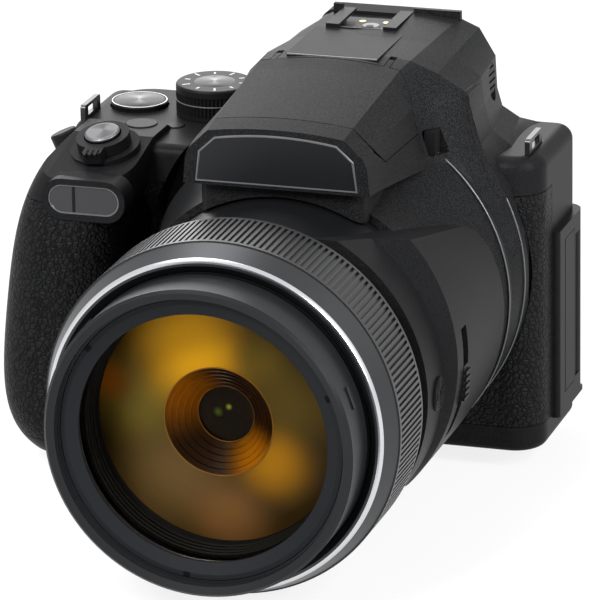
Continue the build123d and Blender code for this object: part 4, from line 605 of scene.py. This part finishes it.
def lens_pieces():
    low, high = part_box("inner_lens")
    edge_r = (high.x - low.x) / 2
    back = high.y - INNER_EDGE
    lip = inner_element(edge_r, low.y, back)
    funnel(lip, back)
    baffle(edge_r)
    ring_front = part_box("retaining_ring")[0].y
    rim = ring_profile(GLASS_RIM_R, ring_front + GLASS_RIM_BACK, *GLASS_RIM_SIZE)
    lathe("glass_edge", rim, EDGE_GREY, "zoom_front")
    for i, degrees in enumerate(SLOT_DEG):
        bar("retainer_slot_%d" % (i + 1), (SLOT_R[0], -SLOT_HALF, ring_front - SLOT_RISE),
            (SLOT_R[1], SLOT_HALF, ring_front + SLOT_SINK), DULL, "zoom_front",
            turned_about(LENS_FRAME, degrees), cut=0.05 * MM)


# Trim of the barrel, painted highlight lines on the shroud, and the pod's button

TRIM_FRONT_R = 44.5 * MM
# Outline of the silver line: step back along the trim ring and lift off it, in millimetres
TRIM_LINE = ((-0.02, -0.5), (-0.02, 0.0), (0.2, 0.12), (1.1, 0.12), (1.3, 0.0), (1.3, -0.5))
# Painted highlight lines round the shroud, thin grey rings along the lit edges of its flare: rise of the
# centre, radius, y and height in millimetres, arc in degrees
SHROUD_HIGHLIGHT_LINES = {
    "band_line": (5.5, 50.6, -25.7, 0.5, (-72, 66)),
    "rim_line": (8.5, 52.1, -15.6, 0.45, (-76, 52)),
}
SHROUD_HIGHLIGHT_WIDE = 0.35 * MM
POD_BUTTON_DEG = -1.6        # place of the pod's button round the barrel
POD_BUTTON_FACE = 1.3 * MM   # from the middle of the button to its face
POD_BUTTON_RINGS = (3.9, 3.0, 2.1, 1.2)    # radii in millimetres


def trim_pieces():
    low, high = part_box("trim_ring")
    slope = (high.x - TRIM_FRONT_R) / (high.y - low.y)
    outline = [(TRIM_FRONT_R + (back * slope + lift) * MM, low.y + back * MM) for back, lift in TRIM_LINE]
    lathe("trim_line", outline, BRIGHT, "camera_body")
    # grey rings that paint the highlight lines on the shroud's flare
    for name, (rise, radius, y, tall, arc) in SHROUD_HIGHLIGHT_LINES.items():
        profile = ring_profile(radius * MM, y * MM, SHROUD_HIGHLIGHT_WIDE, tall * MM)
        raised = Matrix.Translation((0, 0, rise * MM)) @ LENS_FRAME
        lathe(name, profile, EDGE_GREY, "camera_body", raised, arc=arc)
    low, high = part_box("snap_back_button")
    out = Vector((cos(radians(POD_BUTTON_DEG)), 0, sin(radians(POD_BUTTON_DEG))))
    turn = out.to_track_quat("Z", "Y").to_matrix().to_4x4()
    place = Matrix.Translation((low + high) / 2 + out * POD_BUTTON_FACE) @ turn
    for i, radius in enumerate(POD_BUTTON_RINGS):
        lathe("button_ring_%d" % (i + 1), ring_profile(radius * MM, 0, *HAIRLINE), KEY, "snap_key",
              place, SMALL_SIDES)


# Hump

PLATE_FOOT_HALF = 22.0 * MM
PLATE_SHOULDER_HALF = 21.0 * MM
PLATE_TOP_HALF = 16.6 * MM
PLATE_SHOULDER_Z = 98.9 * MM
PLATE_TOP_Z = 102.9 * MM
PLATE_CROWN = 1.4 * MM   # rise of the top edge in its middle
CROWN_STEPS = 12
PLATE_FRAME_WIDE = 0.7 * MM
PLATE_FRAME_RISE = 0.25 * MM
SHOE_LIP_LOW = Vector((-12.7, -20.75, 111.6)) * MM
SHOE_LIP_HIGH = Vector((12.7, -20.35, 112.15)) * MM
SHOE_FLOOR = 0.8 * MM    # height of the shoe's floor over its underside
# Contacts of the shoe: x and y from its middle in millimetres, the large one first
CONTACTS = ((0, 1.0), (-3.4, 4.5), (3.4, 4.5), (-3.4, -2.5), (3.4, -2.5))
MAIN_CONTACT_R = 2.4 * MM
SIDE_CONTACT_R = 1.0 * MM
CONTACT_TALL = 0.18 * MM
CONTACT_EDGE = 0.1 * MM


def plate_frame():
    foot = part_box("name_plate")[0]
    crown = []
    for i in range(CROWN_STEPS + 1):
        across = 1 - 2 * i / CROWN_STEPS
        crown.append((PLATE_TOP_HALF * across, PLATE_TOP_Z + PLATE_CROWN * (1 - across ** 2)))
    right = [(PLATE_FOOT_HALF, foot.z), (PLATE_SHOULDER_HALF, PLATE_SHOULDER_Z)]
    left = [(-x, z) for x, z in reversed(right)]
    strip("plate_frame", right + crown + left, PLATE_FRAME_WIDE, PLATE_FRAME_RISE, EDGE_GREY,
          "camera_body", facing_front(foot.y))


def hump_pieces():
    plate_frame()
    bar("shoe_plate_lip", SHOE_LIP_LOW, SHOE_LIP_HIGH, BRIGHT, "camera_body", cut=0.1 * MM)
    low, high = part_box("hot_shoe")
    middle_y = (low.y + high.y) / 2
    for i, (x, y) in enumerate(CONTACTS):
        pad = SIDE_CONTACT_R if i else MAIN_CONTACT_R
        profile = [(AXIS_R, 0.0), (pad, 0.0), (pad, CONTACT_EDGE),
                   (pad - CONTACT_EDGE, CONTACT_TALL), (AXIS_R, CONTACT_TALL)]
        lathe("shoe_contact_%d" % (i + 1), profile, GOLD if i else GUNMETAL, "camera_body",
              Matrix.Translation((x * MM, middle_y + y * MM, low.z + SHOE_FLOOR)), HEAD_SIDES)


# Seam down the flank of the hump, in pixels of the photograph

FLANK_SEAM = [(479.0, 84.5), (469.4, 93.3), (468.2, 100.2), (470.5, 124.3), (477.4, 149.5),
              (486.6, 170.2), (502.7, 195.5)]
SEAM_STEP = -4.5         # second ridge of the seam beside the first
SEAM_WIDE = (0.8 * MM, 0.7 * MM)


def seam_pieces():
    find = surface_finder("flash_housing", "lens_shroud", "top_cover", "side_rubber", "front_cover")
    second = [(x + SEAM_STEP, y) for x, y in FLANK_SEAM]
    ridge("flank_ridge_1", FLANK_SEAM, find, SEAM_WIDE[0], PAINT, "camera_body")
    ridge("flank_ridge_2", second, find, SEAM_WIDE[1], PAINT, "camera_body")


# Controls on the top and the lamp window

DISC_RISE = 0.02 * MM
DISC_SINK = 0.12 * MM
# Places on the dials as shares of their radius: a disc's top and foot, and the lines
MODE_FACE = (0.52, 0.55)
MODE_EDGE = 0.97
MODE_BAND = 0.995
COMMAND_FACE = (0.86, 0.9)
COMMAND_EDGE = 0.95
# Depth under the dial's top, then width and height of the line
MODE_EDGE_LINE = (-0.35 * MM, 0.3 * MM, 0.3 * MM)
MODE_BAND_LINE = (-4.6 * MM, 0.3 * MM, 0.35 * MM)
COMMAND_EDGE_LINE = (-0.2 * MM, 0.35 * MM, 0.35 * MM)
MODE_MARKS = 10
MODE_MARK_FROM = 0.66    # inner end of a mark, as a share of the radius
MODE_MARK_REACH = (2.3 * MM, 1.5 * MM)
MODE_MARK_HALF = 0.3 * MM
MODE_MARK_TALL = 0.05 * MM
SHUTTER_AT = Vector((-62.0, -29.5, 84.0)) * MM    # foot of the shutter button's axis
SHUTTER_LEAN_DEG = 14.1
SHUTTER_ROLL_DEG = -5.0
LEVER_RIB_PITCH = 1.5 * MM
LEVER_RIB_HALF = 0.35 * MM
LEVER_RIB_Y = (-11.3 * MM, -8.4 * MM)
LEVER_RIB_Z = (4.2 * MM, 4.75 * MM)
LAMP_SPLIT_X = -64.0 * MM
LAMP_SPLIT_HALF = 0.4 * MM
LAMP_SPLIT_PROUD = 0.15 * MM
LAMP_SPLIT_SINK = 0.4 * MM
LAMP_INSET = 0.3 * MM
LAMP_FRAME_WIDE = 0.6 * MM
LAMP_FRAME_RISE = 0.3 * MM
LAMP_FRAME_SINK = 0.05 * MM
LAMP_END_STEPS = 16


def disc_profile(radius, shares):
    """Outline of a thin disc that lies on a dial of this radius."""
    top_r, foot_r = (radius * share for share in shares)
    return [(AXIS_R, DISC_RISE), (top_r, DISC_RISE), (foot_r, -DISC_SINK), (AXIS_R, -DISC_SINK)]


def dial_top(name):
    """Radius of a dial and the frame on the middle of its top."""
    low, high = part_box(name)
    return (high.x - low.x) / 2, Matrix.Translation(((low.x + high.x) / 2, (low.y + high.y) / 2, high.z))


def mode_dial_pieces():
    radius, place = dial_top("mode_dial")
    lathe("mode_dial_face", disc_profile(radius, MODE_FACE), DIAL, "mode_knob", place)
    edge = ring_profile(radius * MODE_EDGE, *MODE_EDGE_LINE)
    lathe("mode_dial_edge", edge, EDGE_GREY, "mode_knob", place)
    band = ring_profile(radius * MODE_BAND, *MODE_BAND_LINE)
    lathe("mode_dial_band", band, EDGE_GREY, "mode_knob", place)
    start = radius * MODE_MARK_FROM
    for i in range(MODE_MARKS):
        bar("mode_mark_%02d" % (i + 1), (start, -MODE_MARK_HALF, -MODE_MARK_TALL),
            (start + MODE_MARK_REACH[i % 2], MODE_MARK_HALF, MODE_MARK_TALL), MARK, "mode_knob",
            turned_about(place, 360 * i / MODE_MARKS), cut=0.02 * MM)


def lever_pieces():
    lean = turned_about(Matrix.Translation(SHUTTER_AT), SHUTTER_LEAN_DEG, "X")
    place = turned_about(lean, SHUTTER_ROLL_DEG, "Y")
    for i in range(3):
        x = (i - 1) * LEVER_RIB_PITCH
        bar("lever_rib_%d" % (i + 1), (x - LEVER_RIB_HALF, LEVER_RIB_Y[0], LEVER_RIB_Z[0]),
            (x + LEVER_RIB_HALF, LEVER_RIB_Y[1], LEVER_RIB_Z[1]), KEY, "lever", place)


def command_dial_pieces():
    radius, place = dial_top("command_dial")
    lathe("command_dial_face", disc_profile(radius, COMMAND_FACE), DIAL, "command_knob", place)
    edge = ring_profile(radius * COMMAND_EDGE, *COMMAND_EDGE_LINE)
    lathe("command_dial_edge", edge, BRIGHT, "command_knob", place)


def lamp_pieces():
    low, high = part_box("lamp_window")
    bar("lamp_divider",
        (LAMP_SPLIT_X - LAMP_SPLIT_HALF, low.y - LAMP_SPLIT_PROUD, low.z + LAMP_INSET),
        (LAMP_SPLIT_X + LAMP_SPLIT_HALF, low.y + LAMP_SPLIT_SINK, high.z - LAMP_INSET),
        KEY, "camera_body")
    end_r = (high.z - low.z) / 2
    centre_z = (low.z + high.z) / 2
    outline = []
    for x, start in ((high.x - end_r, -90), (low.x + end_r, 90)):
        for i in range(LAMP_END_STEPS + 1):
            a = radians(start + 180 * i / LAMP_END_STEPS)
            outline.append((x + end_r * cos(a), centre_z + end_r * sin(a)))
    strip("lamp_frame_edge", outline, LAMP_FRAME_WIDE, LAMP_FRAME_RISE, EDGE_GREY, "camera_body",
          facing_front(low.y + LAMP_FRAME_SINK))


# Screws of the base, with their places in millimetres

SCREWS = ((-46, -4), (-46, 15), (44, -4), (44, 15), (22, 15), (-22, 15))
SCREW_Z = 0.25 * MM
SCREW_R = 2.5 * MM
SCREW_CHAMFER = (0.2 * MM, 0.15 * MM)
SCREW_TALL = 0.6 * MM
SCREW_SLOT_HALF = (1.4 * MM, 0.25 * MM)
SCREW_SLOT_Z = (-0.06 * MM, 0.05 * MM)


def base_pieces():
    chamfer_wide, chamfer_tall = SCREW_CHAMFER
    head = [(AXIS_R, 0.0), (SCREW_R - chamfer_wide, 0.0), (SCREW_R, chamfer_tall),
            (SCREW_R, SCREW_TALL), (AXIS_R, SCREW_TALL)]
    half_long, half_wide = SCREW_SLOT_HALF
    slot_foot, slot_top = SCREW_SLOT_Z
    for i, (x, y) in enumerate(SCREWS):
        place = Matrix.Translation((x * MM, y * MM, SCREW_Z))
        lathe("base_screw_%d" % (i + 1), head, STEEL, "camera_body", place, HEAD_SIDES)
        for j in range(2):
            bar("base_screw_%d_slot_%d" % (i + 1, j + 1), (-half_long, -half_wide, slot_foot),
                (half_long, half_wide, slot_top), DULL, "camera_body",
                turned_about(place, 45 + 90 * j), cut=0.02 * MM)


lens_pieces()
trim_pieces()
hump_pieces()
seam_pieces()
mode_dial_pieces()
lever_pieces()
command_dial_pieces()
lamp_pieces()
base_pieces()


# Lights, floor and camera

WORLD_COLOR = (0.9, 0.92, 0.95)
WORLD_STRENGTH = 0.3
FLOOR_COLOR = (0.92, 0.92, 0.92)
FLOOR_ROUGHNESS = 0.9
FLOOR_HALF = 4.0
FLOOR_GAP = 0.1 * MM     # between the floor and the lowest part of the camera
FLOOR_GLOW = 1.05
FLOOR_GLOW_SHARE = 0.8   # the rest of the floor's colour is lit, and keeps the shadow
LIGHT_TARGET = Vector((0.0, -0.04, 0.05))
# Place, width and height in metres, and watts
LIGHTS = {
    "key_light": ((-0.4, -0.95, 0.95), (0.5, 0.5), 19),
    "fill_light": ((0.95, -0.35, 0.7), (0.25, 0.8), 13),
    "top_light": ((-0.35, 0.3, 1.0), (0.7, 0.4), 4),
    "back_light": ((-0.4, 0.9, 0.4), (0.7, 0.5), 3),
}


def area_light(name, place, size, watts):
    light = bpy.data.lights.new(name, "AREA")
    light.shape = "RECTANGLE"
    light.size, light.size_y = size
    light.energy = watts
    obj = bpy.data.objects.new(name, light)
    obj.location = place
    obj.rotation_euler = (LIGHT_TARGET - Vector(place)).to_track_quat("-Z", "Y").to_euler()
    bpy.context.scene.collection.objects.link(obj)


def shown_rays(tree):
    """1 for rays that show the background: camera, glossy and transmission rays."""
    path = node(tree, "ShaderNodeLightPath")
    shown = path.outputs["Is Camera Ray"]
    for kind in ("Is Glossy Ray", "Is Transmission Ray"):
        either = node(tree, "ShaderNodeMath", operation="MAXIMUM")
        tree.links.new(shown, either.inputs[0])
        tree.links.new(path.outputs[kind], either.inputs[1])
        shown = either.outputs[0]
    return shown


def mix_shaders(tree, share, first, second, output):
    mix = node(tree, "ShaderNodeMixShader")
    for i, source in enumerate((share, first, second)):
        tree.links.new(source, mix.inputs[i])
    tree.links.new(mix.outputs[0], tree.nodes[output].inputs["Surface"])


def sky():
    """Soft even light, with white behind it for the rays that show the background."""
    world = bpy.data.worlds.new("studio")
    bpy.context.scene.world = world
    world.use_nodes = True
    tree = world.node_tree
    background = tree.nodes["Background"]
    background.inputs["Color"].default_value = (*WORLD_COLOR, 1)
    background.inputs["Strength"].default_value = WORLD_STRENGTH
    white = node(tree, "ShaderNodeBackground", Strength=1.0)
    white.inputs["Color"].default_value = (1, 1, 1, 1)
    mix_shaders(tree, shown_rays(tree), background.outputs[0], white.outputs[0], "World Output")


def floor_material():
    mat, tree, shader = new_material("floor_white")
    shader.inputs["Base Color"].default_value = (*FLOOR_COLOR, 1)
    shader.inputs["Roughness"].default_value = FLOOR_ROUGHNESS
    share = node(tree, "ShaderNodeMath", operation="MULTIPLY")
    tree.links.new(shown_rays(tree), share.inputs[0])
    share.inputs[1].default_value = FLOOR_GLOW_SHARE
    glow = node(tree, "ShaderNodeEmission", Strength=FLOOR_GLOW)
    mix_shaders(tree, share.outputs[0], shader.outputs[0], glow.outputs[0], "Material Output")
    return mat


def floor():
    corners = [(-FLOOR_HALF, -FLOOR_HALF, 0), (FLOOR_HALF, -FLOOR_HALF, 0),
               (FLOOR_HALF, FLOOR_HALF, 0), (-FLOOR_HALF, FLOOR_HALF, 0)]
    mesh = bpy.data.meshes.new("floor")
    mesh.from_pydata(corners, [], [(0, 1, 2, 3)])
    mesh.materials.append(floor_material())
    obj = bpy.data.objects.new("floor", mesh)
    obj.location = (0, 0, FLOOR_Z - FLOOR_GAP)
    bpy.context.scene.collection.objects.link(obj)


def camera():
    data = bpy.data.cameras.new("camera")
    data.sensor_width = SENSOR_MM
    data.lens = SENSOR_MM * FOCAL_PX / FRAME_PX
    data.clip_end = CLIP_END
    obj = bpy.data.objects.new("camera", data)
    obj.matrix_world = Matrix.Translation(CAMERA_AT) @ camera_turn().to_4x4()
    bpy.context.scene.collection.objects.link(obj)
    bpy.context.scene.camera = obj


sky()
floor()
for light_name, (light_place, light_size, light_watts) in LIGHTS.items():
    area_light(light_name, light_place, light_size, light_watts)
camera()
bpy.context.scene.view_settings.view_transform = "Standard"
